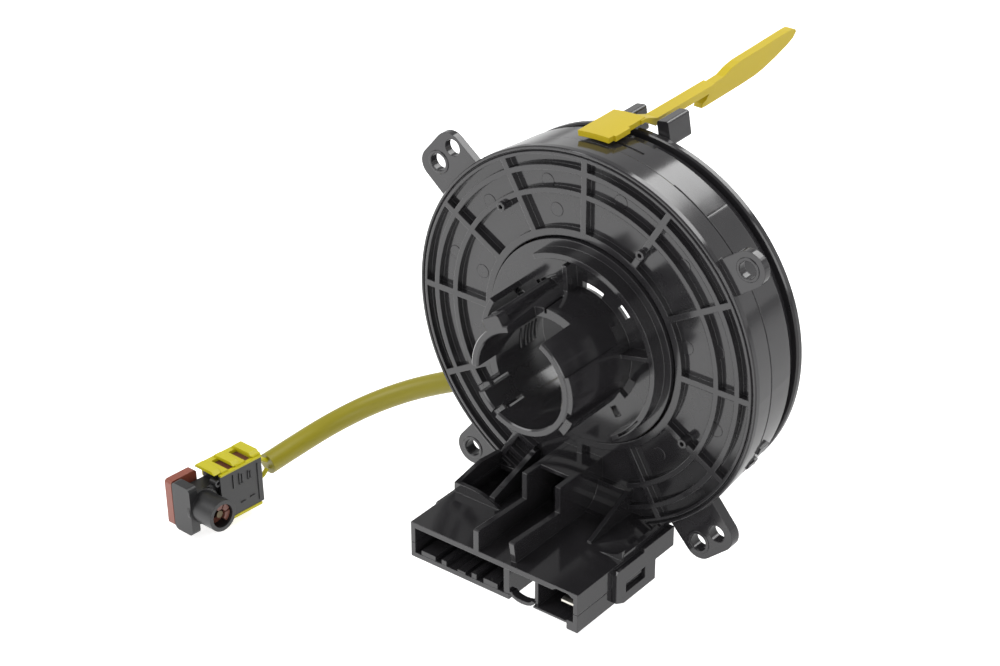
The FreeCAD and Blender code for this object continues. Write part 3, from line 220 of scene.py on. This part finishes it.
@dataclass(frozen=True)
class SheetMetal:
    """Stamped contact metal.

    Attributes:
        name: Name of the material.
        colour: Colour as sRGB hex.
        roughness: Mean roughness.
        grain_mm: Spacing of the drawing lines, coarser than the real one so that it shows.
        rough_swing: Difference between the dullest and the glossiest line.
        line_stretch: Scale of the pattern along each axis, least along the lines.
        line_detail: Fineness within the lines.
    """

    name: str
    colour: str
    roughness: float
    grain_mm: float = 0.25
    rough_swing: float = 0.2
    line_stretch: tuple[float, float, float] = (1.0, 0.08, 1.0)
    line_detail: float = 3.0

    def build(self) -> bpy.types.Material:
        """Make the material with fine drawing lines.

        Returns:
            The finished material.
        """
        material = bpy.data.materials.new(self.name)
        material.use_nodes = True
        tree = material.node_tree
        shader = tree.nodes["Principled BSDF"]
        shader.inputs["Metallic"].default_value = 1.0
        shader.inputs["Base Color"].default_value = linear(self.colour)
        place = add_node(tree, "ShaderNodeTexCoord").outputs["Object"]
        stretched = add_node(tree, "ShaderNodeMapping", values={"Scale": self.line_stretch},
                             links={"Vector": place}).outputs["Vector"]
        lines = add_node(tree, "ShaderNodeTexNoise",
                         values={"Scale": 1 / (self.grain_mm * MM),
                                 "Detail": self.line_detail},
                         links={"Vector": stretched}).outputs["Fac"]
        rough = add_node(tree, "ShaderNodeMapRange",
                         values={"To Min": self.roughness - self.rough_swing / 2,
                                 "To Max": self.roughness + self.rough_swing / 2},
                         links={"Value": lines}).outputs["Result"]
        tree.links.new(rough, shader.inputs["Roughness"])
        return material


# PBT with short glass fibre from a polished mould: dark grey with a hard gloss that mirrors.
HOUSING = Moulded("moulded_black_pbt", "#272628", 0.12, ior=1.55, grain_mm=0.8,
                  grain_depth_mm=0.0003, ripple_depth_mm=0.006, corner_mm=0.4)
# POM: warm yellow with a soft, waxy sheen.
TAB_YELLOW = Moulded("moulded_yellow_pom", "#bfa91c", 0.4, ior=1.42, shade=0.04)
# Polyamide from a lightly eroded mould: very dark grey, satin and faintly grainy.
PLUG_GREY = Moulded("moulded_grey_polyamide", "#1c1c1d", 0.42, ior=1.47, grain_mm=0.4,
                    grain_depth_mm=0.006)
# Polyamide in signal yellow: a little greener than the tab, and satin.
CLIP_YELLOW = Moulded("moulded_yellow_polyamide", "#b9b012", 0.42, ior=1.42, shade=0.08)
# PBT of the insert and keeper: dull red brown, satin.
INSERT_BROWN = Moulded("moulded_brown_pbt", "#6b3f33", 0.4, ior=1.5)
# PBT of the lock slide: a brighter, more orange brown, satin.
SLIDE_ORANGE = Moulded("moulded_orange_pbt", "#80402e", 0.42, ior=1.55)
# Extruded PVC: waxy yellow green with a soft sheen along it.
SHEATH_PVC = Moulded("extruded_yellow_pvc", "#898013", 0.42, ior=1.45, shade=0.06,
                     ripple_depth_mm=0.05)
# Tin plated bronze: pale grey metal with a broad, soft shine.
TINNED = SheetMetal("tin_plated_bronze", "#c9c6bd", 0.32)
# Tarnished brass: dark brownish metal with a dull shine.
BRASS = SheetMetal("dull_brass", "#5d5444", 0.5)
# Polyester film of the ribbon and the slip sheets: pale beige, smooth and slightly glossy.
FILM = Moulded("rolled_polyester_film", "#b9ad8c", 0.35, ior=1.6)


class FinishShop:
    """Keeps each material once and puts it on pieces."""

    def __init__(self) -> None:
        """Start with no material made."""
        self.made: dict[str, bpy.types.Material] = {}

    def apply(self, piece: bpy.types.Object, finish: Moulded | SheetMetal) -> None:
        """Give a piece one finish all over.

        Args:
            piece: Mesh or curve object.
            finish: The finish to make or reuse.
        """
        if finish.name not in self.made:
            self.made[finish.name] = finish.build()
        piece.data.materials.clear()
        piece.data.materials.append(self.made[finish.name])
        if piece.type == "MESH":
            for polygon in piece.data.polygons:
                polygon.material_index = 0


@dataclass
class EdgeBreak:
    """Small rounding of the edges of drawn pieces, which catches the light."""

    width_mm: float = 0.18
    angle: float = 32.0
    segments: int = 2

    def apply(self, piece: bpy.types.Object) -> None:
        """Round the sharp edges and even out the shading.

        Args:
            piece: Mesh object drawn by this script.
        """
        bevel = piece.modifiers.new("edge_break", "BEVEL")
        bevel.width = self.width_mm * MM
        bevel.segments = self.segments
        bevel.limit_method = "ANGLE"
        bevel.angle_limit = math.radians(self.angle)
        bevel.use_clamp_overlap = True
        bevel.harden_normals = True
        for polygon in piece.data.polygons:
            polygon.use_smooth = True


def polar(radius: float, degrees: float) -> tuple[float, float]:
    """Give the point of a plane at an angle counted from its first axis.

    Args:
        radius: Distance from the middle.
        degrees: Angle from the first axis towards the second.

    Returns:
        First and second coordinate, in the unit of the radius.
    """
    angle = math.radians(degrees)
    return radius * math.cos(angle), radius * math.sin(angle)


def tube(radii: tuple[float, float], ends: tuple[float, float]) -> list[tuple[float, float]]:
    """Give the section of a plain tube, to be turned about its axis.

    Args:
        radii: Inner and outer radius.
        ends: Start and end along the axis.

    Returns:
        Points (radius, height), in order round the section.
    """
    inner, outer = radii
    low, high = ends
    return [(inner, low), (outer, low), (outer, high), (inner, high)]


def facing_column(x: float = 0.0, y: float = 0.0, z: float = 0.0) -> Matrix:
    """Frame that looks along the column towards the viewer.

    Args:
        x: Place to the right, in millimetres.
        y: Place along the column, in millimetres.
        z: Place upwards, in millimetres.

    Returns:
        Matrix whose first axis is X, second axis Z and third axis -Y.
    """
    axes = Matrix(((1, 0, 0), (0, 0, -1), (0, 1, 0))).to_4x4()
    return Matrix.Translation((x, y, z)) @ axes


class Piece:
    """Mesh of one extra piece, drawn in millimetres in frames of choice."""

    # Corners that lie closer than this are made one.
    WELD_MM = 0.001

    def __init__(self, shop: FinishShop) -> None:
        """Start with an empty mesh.

        Args:
            shop: Shop that puts the finish on.
        """
        self.shop = shop
        self.mesh = bmesh.new()

    def prism(self, frame: Matrix, outline: list[tuple[float, float]], low: float,
              high: float) -> None:
        """Draw an outline out along the frame's third axis.

        Args:
            frame: Where and how the piece lies.
            outline: Points (first, second axis), in order round the outline.
            low: Start along the third axis.
            high: End along the third axis.
        """
        rows = []
        for level in (low, high):
            rows.append([self.mesh.verts.new(frame @ Vector((a, b, level)))
                         for a, b in outline])
        count = len(outline)
        self.mesh.faces.new(rows[0][::-1])
        self.mesh.faces.new(rows[1])
        for index in range(count):
            after = (index + 1) % count
            self.mesh.faces.new((rows[0][index], rows[0][after], rows[1][after],
                                 rows[1][index]))

    def block(self, frame: Matrix, low: tuple[float, float, float],
              high: tuple[float, float, float]) -> None:
        """Draw a block between two corners.

        Args:
            frame: Where and how the piece lies.
            low: Lowest corner.
            high: Highest corner.
        """
        outline = [(low[0], low[1]), (high[0], low[1]), (high[0], high[1]), (low[0], high[1])]
        self.prism(frame, outline, low[2], high[2])

    def lathe(self, frame: Matrix, profile: list[tuple[float, float]], start: float = 0.0,
              sweep: float = FULL_TURN, steps: int = 40) -> None:
        """Turn a closed profile about the frame's third axis.

        Args:
            frame: Where and how the piece lies.
            profile: Points (radius, height), in order round the section.
            start: Angle at which the sweep begins, in degrees.
            sweep: Angle swept, in degrees.
            steps: Number of facets round the sweep.
        """
        full = sweep >= FULL_TURN
        rows = []
        for step in range(steps if full else steps + 1):
            degrees = start + sweep * step / steps
            row = []
            for radius, height in profile:
                a, b = polar(radius, degrees)
                row.append(self.mesh.verts.new(frame @ Vector((a, b, height))))
            rows.append(row)
        count = len(profile)
        pairs = list(zip(rows, rows[1:]))
        if full:
            pairs.append((rows[-1], rows[0]))
        else:
            self.mesh.faces.new(rows[0])
            self.mesh.faces.new(rows[-1][::-1])
        for near, far in pairs:
            for index in range(count):
                after = (index + 1) % count
                self.mesh.faces.new((near[index], near[after], far[after], far[index]))

    def hang(self, name: str, body: Body, finish: Moulded | SheetMetal,
             edge: EdgeBreak | None = None) -> None:
        """Turn the drawn faces into an object that rides on a body.

        Args:
            name: Name of the piece.
            body: Body that carries it.
            finish: Finish of the piece.
            edge: Rounding of its edges, where it has any.
        """
        bmesh.ops.remove_doubles(self.mesh, verts=self.mesh.verts, dist=self.WELD_MM)
        bmesh.ops.recalc_face_normals(self.mesh, faces=self.mesh.faces)
        bmesh.ops.scale(self.mesh, vec=(MM, MM, MM), verts=self.mesh.verts)
        data = bpy.data.meshes.new(name)
        self.mesh.to_mesh(data)
        self.mesh.free()
        piece = bpy.data.objects.new(name, data)
        bpy.context.scene.collection.objects.link(piece)
        self.shop.apply(piece, finish)
        if edge is not None:
            edge.apply(piece)
        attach(piece, body.value)
        LOG.info("piece %s on %s", name, body.value)


@dataclass
class CoverMarks:
    """Ejector marks in the cover's cells and the raised rings round the screw holes."""

    shop: FinishShop
    floor_y_mm: float = 2.2
    mark_height_mm: float = 0.14
    mark_radius_mm: float = 2.3
    ring_y_mm: float = 2.0
    ring_inner_mm: float = 2.85
    ring_outer_mm: float = 3.9
    ring_height_mm: float = 0.3

    # Shares of the height that the rounded rims take.
    mark_round: float = 0.5
    ring_round_out: float = 0.6
    ring_round_in: float = 0.3
    # Places of the marks on the cover's face in millimetres, to the right and upwards.
    MARKS = (
        (-14.6, 48.7), (-11.2, 40.1), (11.8, 49.7), (-36.4, 34.9), (-49.9, 13.0),
        (-39.3, 9.8), (34.4, 36.1), (36.6, 9.6), (47.3, 12.1), (47.9, -14.4), (28.1, -30.6),
    )
    # Screw holes by radius and angle about the column.
    HOLES = ((70.2, 143.1), (70.2, 36.9), (71.0, 232.1), (71.0, -52.1))

    def build(self) -> None:
        """Draw the marks and rings and hang them on the cover's body."""
        marks = Piece(self.shop)
        rim = self.mark_radius_mm
        top = self.mark_height_mm
        soft = top * self.mark_round
        for x, z in self.MARKS:
            frame = facing_column(x, self.floor_y_mm, z)
            marks.lathe(frame, [(0.0, -SINK_MM), (rim, -SINK_MM), (rim, top - soft),
                                (rim - soft, top), (0.0, top)])
        marks.hang("cover_ejector_marks", Body.STATOR, HOUSING)
        rings = Piece(self.shop)
        inner = self.ring_inner_mm
        outer = self.ring_outer_mm
        high = self.ring_height_mm
        soft_out = high * self.ring_round_out
        soft_in = high * self.ring_round_in
        for radius, degrees in self.HOLES:
            x, z = polar(radius, degrees)
            rings.lathe(facing_column(x, self.ring_y_mm, z),
                        [(inner, -SINK_MM), (outer, -SINK_MM), (outer, high - soft_out),
                         (outer - soft_out, high), (inner + soft_in, high),
                         (inner, high - soft_in)])
        rings.hang("lug_hole_rings", Body.STATOR, HOUSING)


@dataclass
class PocketFloor:
    """Inner floor of the plug block under its left pocket."""

    shop: FinishShop
    low: tuple[float, float, float] = (-31.0, -24.0, -61.2)
    high: tuple[float, float, float] = (-16.0, 0.5, -60.0)

    def build(self) -> None:
        """Draw the floor and hang it on the block's body."""
        piece = Piece(self.shop)
        piece.block(Matrix(), self.low, self.high)
        piece.hang("left_pocket_floor", Body.STATOR, HOUSING)


@dataclass
class CaseRims:
    """Fine raised rims on the case, where its mould halves and the cover's skirt meet."""

    shop: FinishShop
    radius_mm: float = 61.6
    draw_slope: float = 0.17
    rise_mm: float = 0.16
    width_mm: float = 0.5
    front_y_mm: float = 9.45
    steps: int = 90

    # Place along the column, then start and sweep of the arc in degrees.
    ARCS = ((9.5, -30.0, 96.0), (15.6, 71.0, 8.0))

    def build(self) -> None:
        """Draw the rims and hang them on the case's body."""
        rims = Piece(self.shop)
        for y, start, sweep in self.ARCS:
            low = self.radius_mm - self.draw_slope * (y - self.front_y_mm) - SINK_MM
            high = low + SINK_MM + self.rise_mm
            profile = [(low, -y), (high, -y - self.width_mm / 3),
                       (high, -y - self.width_mm * 2 / 3), (low, -y - self.width_mm)]
            rims.lathe(facing_column(), profile, start, sweep, self.steps)
        rims.hang("case_joint_rims", Body.STATOR, HOUSING)


@dataclass
class BoreTeeth:
    """Fine arc shaped teeth on the left flank of the sleeve's bore."""

    shop: FinishShop
    bore_mm: float = 15.4
    rise_mm: float = 0.35
    width_mm: float = 0.7
    start_degrees: float = 167.0
    sweep_degrees: float = 25.0
    steps: int = 16
    # Share of the tooth's width that is left at its tip.
    tip_share: float = 0.4

    PLACES_Y = (-10.0, -7.6, -6.0, -4.4, -2.6)

    def build(self) -> None:
        """Draw the teeth and hang them on the hub."""
        teeth = Piece(self.shop)
        low = self.bore_mm - self.rise_mm
        high = self.bore_mm + SINK_MM
        half = self.width_mm / 2
        tip = half * self.tip_share
        for y in self.PLACES_Y:
            profile = [(low, -tip - y), (high, -half - y), (high, half - y), (low, tip - y)]
            teeth.lathe(facing_column(), profile, self.start_degrees, self.sweep_degrees,
                        self.steps)
        teeth.hang("sleeve_bore_teeth", Body.ROTOR, HOUSING)


@dataclass
class PlugTrim:
    """Small features of the squib plug, drawn in the plug's own frame in millimetres.

    The frame's first axis leads out of the barrel, its second towards the lead and its
    third upwards.
    """

    shop: FinishShop
    face_mm: float = 4.4
    half_height_mm: float = 8.5
    clip_top_mm: float = 9.9
    line_mm: float = 0.45
    relief_mm: float = 0.3
    panel_mm: float = 1.0

    # Origin of the plug's frame in millimetres, and directions of two of its axes.
    PLACE = (-119.4, -22.6, -83.6)
    BACK = (0.0955, 0.9953, -0.0073)
    OUT = (0.9938, -0.0953, 0.0488)
    PIECES = ("squib_plug_relief", "squib_clip_bars", "squib_keeper", "squib_side_panel")
    # Turns the third axis of a drawing onto the first axis of the plug's frame.
    OUTWARDS = Matrix.Rotation(QUARTER_TURN, 4, "Y")
    # Rounding of the edges of the clip's bars and the keeper, and of the panel.
    fine_edge_mm: float = 0.12
    panel_edge_mm: float = 0.15

    # Upright strokes: start along the second axis, then both ends along the third.
    UPRIGHTS = ((-12.2, 1.8, 6.7), (-9.6, 2.2, 6.2), (-8.35, 2.2, 5.6), (-5.8, 2.6, 5.6),
                (-4.75, 2.6, 5.2), (-1.5, -7.2, 6.6))
    # Level strokes: both ends along the second axis, then the start along the third.
    LEVELS = ((-9.6, -7.9, 2.2), (-5.8, -4.3, 2.6), (-9.3, -7.3, -5.1), (-5.2, -3.2, -4.7))
    # Small eye beside the barrel.
    EYE_PLACE = (0.0, -18.1, 6.3)
    EYE_RADII = (0.6, 1.3)
    eye_root_mm: float = 2.0
    eye_set_back_mm: float = 0.6
    eye_steps: int = 20
    # Corners of the side panel: share of its half height downwards, then the second axis.
    PANEL_CORNERS = ((-1, -17.6), (-1, 0.7), (1, 0.7), (1, -15.6), (0, -17.4))
    # Step between the panel's edge and the roof's.
    panel_step_mm: float = 0.1
    # Bars of the clip: ends along the second axis.
    BARS = ((-19.4, -16.4), (-11.2, -8.4), (-3.2, 0.6))
    # Ends of a bar along the first axis, at its foot and at its crown.
    BAR_FOOT = (-5.2, 5.0)
    BAR_CROWN = (-4.2, 3.6)
    bar_sink_mm: float = 0.3
    bar_rise_mm: float = 0.9
    # Lip of the clip under the panel: start, ends along the second axis, reach and drop.
    lip_start_mm: float = -3.9
    LIP_ENDS = (-15.6, -0.4)
    lip_reach_mm: float = 0.2
    lip_drop_mm: float = 0.9
    # Edge strip of the clip over the panel: ends along the second axis, reach and rise.
    STRIP_ENDS = (-17.4, 0.7)
    strip_reach_mm: float = 0.4
    strip_rise_mm: float = 0.7
    # Brown keeper behind the clip's windows: start, ends along the second axis, reach.
    keeper_start_mm: float = -3.0
    KEEPER_ENDS = (-14.2, -2.4)
    keeper_reach_mm: float = 0.6
    keeper_sink_mm: float = 0.4
    keeper_rise_mm: float = 0.25
    # Keyed mouth in the barrel: sectors by start and sweep in degrees.
    MOUTH_PLACE = (0.0, -24.0, 0.0)
    MOUTH_RADII = (1.9, 3.95)
    MOUTH_ENDS = (9.2, 12.3)
    MOUTH_SECTORS = ((35.0, 60.0), (102.0, 48.0), (158.0, 50.0))
    mouth_steps: int = 10

    def frame(self) -> Matrix:
        """Find the plug's own frame.

        Returns:
            Matrix from the plug's frame to the model's, in millimetres.
        """
        out = Vector(self.OUT).normalized()
        up = out.cross(Vector(self.BACK)).normalized()
        back = up.cross(out).normalized()
        axes = Matrix((out, back, up)).transposed().to_4x4()
        return Matrix.Translation(self.PLACE) @ axes

    def relief(self, frame: Matrix) -> None:
        """Draw the raised marks on the plug's side and the eye beside the barrel.

        Args:
            frame: Frame of the plug.
        """
        piece = Piece(self.shop)
        low = self.face_mm - SINK_MM
        high = self.face_mm + self.panel_mm + self.relief_mm
        for y, bottom, top in self.UPRIGHTS:
            piece.block(frame, (low, y, bottom), (high, y + self.line_mm, top))
        for near, far, z in self.LEVELS:
            piece.block(frame, (low, near, z), (high, far, z + self.line_mm))
        eye = frame @ Matrix.Translation(self.EYE_PLACE) @ self.OUTWARDS
        section = tube(self.EYE_RADII, (self.eye_root_mm, high - self.eye_set_back_mm))
        piece.lathe(eye, section, steps=self.eye_steps)
        piece.hang("squib_plug_relief", Body.ROTOR, PLUG_GREY)

    def panel(self, frame: Matrix) -> None:
        """Draw the thin side panel that covers the clip's skirt, up to the roof's edge.

        Args:
            frame: Frame of the plug.
        """
        piece = Piece(self.shop)
        low = self.face_mm - SINK_MM
        high = self.face_mm + self.panel_mm
        top = self.half_height_mm - self.panel_step_mm
        outline = [(share * top, y) for share, y in self.PANEL_CORNERS]
        piece.prism(frame @ self.OUTWARDS, outline, low, high)
        piece.hang("squib_side_panel", Body.ROTOR, PLUG_GREY,
                   EdgeBreak(width_mm=self.panel_edge_mm))

    def bars(self, frame: Matrix) -> None:
        """Draw the raised bars of the yellow clip, its lower lip and its edge strip.

        Args:
            frame: Frame of the plug.
        """
        piece = Piece(self.shop)
        low = self.clip_top_mm - self.bar_sink_mm
        high = self.clip_top_mm + self.bar_rise_mm
        outline = [(self.BAR_FOOT[0], low), (self.BAR_CROWN[0], high),
                   (self.BAR_CROWN[1], high), (self.BAR_FOOT[1], low)]
        across = frame @ Matrix.Rotation(QUARTER_TURN, 4, "X")
        for near, far in self.BARS:
            piece.prism(across, outline, -far, -near)
        outer = self.face_mm + self.panel_mm
        top = self.half_height_mm
        near, far = self.LIP_ENDS
        piece.block(frame, (self.lip_start_mm, near, -top - self.lip_drop_mm),
                    (outer + self.lip_reach_mm, far, -top + SINK_MM))
        near, far = self.STRIP_ENDS
        piece.block(frame, (self.face_mm, near, top - SINK_MM),
                    (outer + self.strip_reach_mm, far, top + self.strip_rise_mm))
        piece.hang("squib_clip_bars", Body.ROTOR, CLIP_YELLOW,
                   EdgeBreak(width_mm=self.fine_edge_mm))

    def keeper(self, frame: Matrix) -> None:
        """Draw the brown keeper: what the clip's windows show and the keyed mouth.

        Args:
            frame: Frame of the plug.
        """
        piece = Piece(self.shop)
        top = self.half_height_mm
        near, far = self.KEEPER_ENDS
        piece.block(frame, (self.keeper_start_mm, near, top - self.keeper_sink_mm),
                    (self.face_mm + self.keeper_reach_mm, far, top + self.keeper_rise_mm))
        mouth = frame @ Matrix.Translation(self.MOUTH_PLACE) @ self.OUTWARDS
        section = tube(self.MOUTH_RADII, self.MOUTH_ENDS)
        for start, sweep in self.MOUTH_SECTORS:
            piece.lathe(mouth, section, start, sweep, self.mouth_steps)
        piece.hang("squib_keeper", Body.ROTOR, INSERT_BROWN,
                   EdgeBreak(width_mm=self.fine_edge_mm))

    def build(self) -> None:
        """Draw all trim of the plug."""
        frame = self.frame()
        self.panel(frame)
        self.relief(frame)
        self.bars(frame)
        self.keeper(frame)


@dataclass
class PlainParts:
    """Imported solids, which keep their shape and exact shading and get a finish."""

    shop: FinishShop
    nodes: dict

    def dress(self) -> None:
        """Give every solid its finish."""
        plan = (
            (HOUSING, ("column_cover", "outer_case", "connector_base", "hub_sleeve",
                       "rotor_disc", "wheel_socket", "lead_exit", "stator_lead_frame",
                       "rotor_lead_frame", "outer_joint_block", "inner_joint_block")),
            (TAB_YELLOW, ("lock_tab",)),
            (PLUG_GREY, ("squib_body",)),
            (CLIP_YELLOW, ("squib_clip", "lead_wires")),
            (INSERT_BROWN, ("squib_insert",)),
            (SLIDE_ORANGE, ("squib_lock",)),
            (TINNED, ("left_terminals", "right_terminals", "blade_contact",
                      "wheel_terminals")),
            (BRASS, ("squib_contacts",)),
            (FILM, ("flat_cable", "front_slip_sheet", "rear_slip_sheet")),
        )
        for finish, names in plan:
            for name in names:
                self.shop.apply(self.nodes[name], finish)
                LOG.info("dressed %s with %s", name, finish.name)


@dataclass
class SquibLead:
    """Sheath of the squib lead, bent as it lies in the photograph."""

    shop: FinishShop
    diameter_mm: float = 7.5
    length_mm: float = 116.0
    steps_round: int = 8
    steps_along: int = 16

    # Points of the route in millimetres, from the exit on the flange to the plug.
    ROUTE = (
        (-39.0, 35.8, -46.8), (-51.0, 36.1, -48.8), (-66.0, 36.2, -54.0),
        (-81.0, 34.6, -60.8), (-94.5, 30.4, -67.2), (-105.8, 22.4, -73.4),
        (-113.0, 11.0, -78.2), (-117.0, -2.4, -81.7), (-118.7, -14.9, -83.4),
    )

    def build(self) -> None:
        curve = bpy.data.curves.new("squib_lead_sheath", "CURVE")
        curve.dimensions = "3D"
        curve.bevel_depth = self.diameter_mm / 2 * MM
        curve.bevel_resolution = self.steps_round
        curve.resolution_u = self.steps_along
        curve.use_fill_caps = True
        spline = curve.splines.new("NURBS")
        spline.points.add(len(self.ROUTE) - 1)
        for point, (x, y, z) in zip(spline.points, self.ROUTE):
            point.co = (x * MM, y * MM, z * MM, 1.0)
        spline.order_u = 3
        spline.use_endpoint_u = True
        sheath = bpy.data.objects.new("squib_lead_sheath", curve)
        bpy.context.scene.collection.objects.link(sheath)
        self.shop.apply(sheath, SHEATH_PVC)
        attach(sheath, Body.ROTOR.value)
        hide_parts("lead_sheath")
        LOG.info("sheath of the squib lead")


@dataclass
class Studio:
    """Pale table, soft light and the camera of the photograph."""

    # Camera, solved from the photograph: angles in degrees, clipping in metres.
    azimuth: float = 37.868
    elevation: float = 30.025
    roll: float = -0.066
    distance_mm: float = 813.084
    lens_mm: float = 94.77
    sensor_mm: float = 36.0
    nearest: float = 0.01
    farthest: float = 100.0
    target_mm: tuple[float, float, float] = (-30.962, 0.0, -8.268)
    # Table: height in millimetres, side in metres, and the skin of plain card.
    floor_mm: float = -96.0
    floor_size: float = 14.0
    card_colour: str = "#e6e6e6"
    card_roughness: float = 0.9
    card_shine: float = 0.1
    # Light of the table's own: to the camera, and to mirrored rays on either side.
    glow_seen: float = 0.7
    glow_left: float = 1.1
    glow_right: float = 0.0
    # Where the mirrored light fades, in metres along the direction.
    shade_start: float = -0.06
    shade_end: float = 0.05
    shade_direction: tuple[float, float, float] = (0.6, 0.8, 0.0)
    # Light of the backdrop: to the camera, at the horizon and overhead.
    backdrop_seen: float = 1.0
    backdrop_low: float = 1.0
    backdrop_high: float = 0.45
    # Heights between which the backdrop darkens, as the upward part of the direction.
    fade_start: float = 0.05
    fade_end: float = 0.7

    # Soft boxes: name, place and side in metres, power in watts.
    LAMPS = (
        ("soft_box_above", (0.12, 0.75, 0.95), 0.8, 10.0),
        ("soft_box_left", (-0.75, -0.7, 0.95), 0.8, 8.5),
        ("soft_box_right", (0.95, -0.85, 0.45), 0.7, 4.5),
    )

    def camera(self) -> None:
        """Place the camera where the photographer stood."""
        azimuth = math.radians(self.azimuth)
        rise = math.radians(self.elevation)
        back = Vector((math.sin(azimuth) * math.cos(rise),
                       -math.cos(azimuth) * math.cos(rise), math.sin(rise)))
        data = bpy.data.cameras.new("camera")
        data.sensor_width = self.sensor_mm
        data.lens = self.lens_mm
        data.clip_start = self.nearest
        data.clip_end = self.farthest
        camera = bpy.data.objects.new("camera", data)
        bpy.context.scene.collection.objects.link(camera)
        turn = (-back).to_track_quat("-Z", "Y").to_matrix().to_4x4()
        turn = turn @ Matrix.Rotation(math.radians(self.roll), 4, "Z")
        place = Vector(self.target_mm) * MM + back * self.distance_mm * MM
        camera.matrix_world = Matrix.Translation(place) @ turn
        bpy.context.scene.camera = camera

    def floor(self) -> None:
        """Lay a pale table, which mirrored rays see darken towards the camera's right."""
        half = self.floor_size / 2
        mesh = bpy.data.meshes.new("table_top")
        square = [(-half, -half, 0), (half, -half, 0), (half, half, 0), (-half, half, 0)]
        mesh.from_pydata(square, [], [(0, 1, 2, 3)])
        table = bpy.data.objects.new("table_top", mesh)
        table.location = (0, 0, self.floor_mm * MM)
        bpy.context.scene.collection.objects.link(table)
        material = bpy.data.materials.new("matt_white_card")
        material.use_nodes = True
        tree = material.node_tree
        shader = tree.nodes["Principled BSDF"]
        shader.inputs["Base Color"].default_value = linear(self.card_colour)
        shader.inputs["Roughness"].default_value = self.card_roughness
        shader.inputs["Specular IOR Level"].default_value = self.card_shine
        rays = add_node(tree, "ShaderNodeLightPath")
        place = add_node(tree, "ShaderNodeTexCoord").outputs["Object"]
        across = add_node(tree, "ShaderNodeVectorMath", {"operation": "DOT_PRODUCT"},
                          {1: self.shade_direction}, {0: place}).outputs["Value"]
        mirrored = add_node(tree, "ShaderNodeMapRange", {"interpolation_type": "SMOOTHSTEP"},
                            {"From Min": self.shade_start, "From Max": self.shade_end,
                             "To Min": self.glow_left, "To Max": self.glow_right},
                            {"Value": across}).outputs["Result"]
        bounced = add_node(tree, "ShaderNodeMath", {"operation": "MAXIMUM"},
                           links={0: rays.outputs["Is Glossy Ray"],
                                  1: rays.outputs["Is Transmission Ray"]}).outputs[0]
        reflected = add_node(tree, "ShaderNodeMath", {"operation": "MULTIPLY"},
                             links={0: bounced, 1: mirrored}).outputs[0]
        glow = add_node(tree, "ShaderNodeMath", {"operation": "MULTIPLY_ADD"},
                        {1: self.glow_seen},
                        {0: rays.outputs["Is Camera Ray"], 2: reflected}).outputs[0]
        shader.inputs["Emission Color"].default_value = WHITE
        tree.links.new(glow, shader.inputs["Emission Strength"])
        table.data.materials.append(material)

    def world(self) -> None:
        """Hang a white backdrop, darker overhead for everything but the camera."""
        world = bpy.data.worlds.new("studio")
        bpy.context.scene.world = world
        world.use_nodes = True
        tree = world.node_tree
        background = tree.nodes["Background"]
        direction = add_node(tree, "ShaderNodeTexCoord").outputs["Generated"]
        height = add_node(tree, "ShaderNodeSeparateXYZ", links={0: direction}).outputs["Z"]
        fade = add_node(tree, "ShaderNodeMapRange", {"interpolation_type": "SMOOTHSTEP"},
                        {"From Min": self.fade_start, "From Max": self.fade_end,
                         "To Min": self.backdrop_low, "To Max": self.backdrop_high},
                        {"Value": height}).outputs["Result"]
        rays = add_node(tree, "ShaderNodeLightPath")
        level = add_node(tree, "ShaderNodeMix", {"data_type": "FLOAT"},
                         {3: self.backdrop_seen},
                         {0: rays.outputs["Is Camera Ray"], 2: fade}).outputs[0]
        tree.links.new(level, background.inputs["Strength"])
        background.inputs["Color"].default_value = WHITE

    def lamp(self, name: str, place: tuple[float, float, float], size: float,
             power: float) -> None:
        """Hang one soft box that looks at the object.

        Args:
            name: Name of the lamp.
            place: Where it hangs, in metres.
            size: Side of its square face, in metres.
            power: Power in watts.
        """
        data = bpy.data.lights.new(name, "AREA")
        data.shape = "SQUARE"
        data.size = size
        data.energy = power
        lamp = bpy.data.objects.new(name, data)
        lamp.location = place
        aim = Vector(self.target_mm) * MM - Vector(place)
        lamp.rotation_mode = "QUATERNION"
        lamp.rotation_quaternion = aim.to_track_quat("-Z", "Y")
        bpy.context.scene.collection.objects.link(lamp)

    def build(self) -> None:
        """Set up table, world, lamps and camera."""
        self.floor()
        self.world()
        for name, place, size, power in self.LAMPS:
            self.lamp(name, place, size, power)
        self.camera()
        bpy.context.scene.view_settings.view_transform = "Standard"
        LOG.info("studio ready")


def main() -> None:
    """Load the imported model, dress every piece and set up the studio."""
    logging.basicConfig(level=logging.INFO, format="%(name)s: %(message)s")
    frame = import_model()
    shop = FinishShop()
    PlainParts(shop, frame["nodes"]).dress()
    CoverMarks(shop).build()
    PocketFloor(shop).build()
    CaseRims(shop).build()
    BoreTeeth(shop).build()
    PlugTrim(shop).build()
    SquibLead(shop).build()
    Studio().build()


if __name__ == "__main__":
    main()
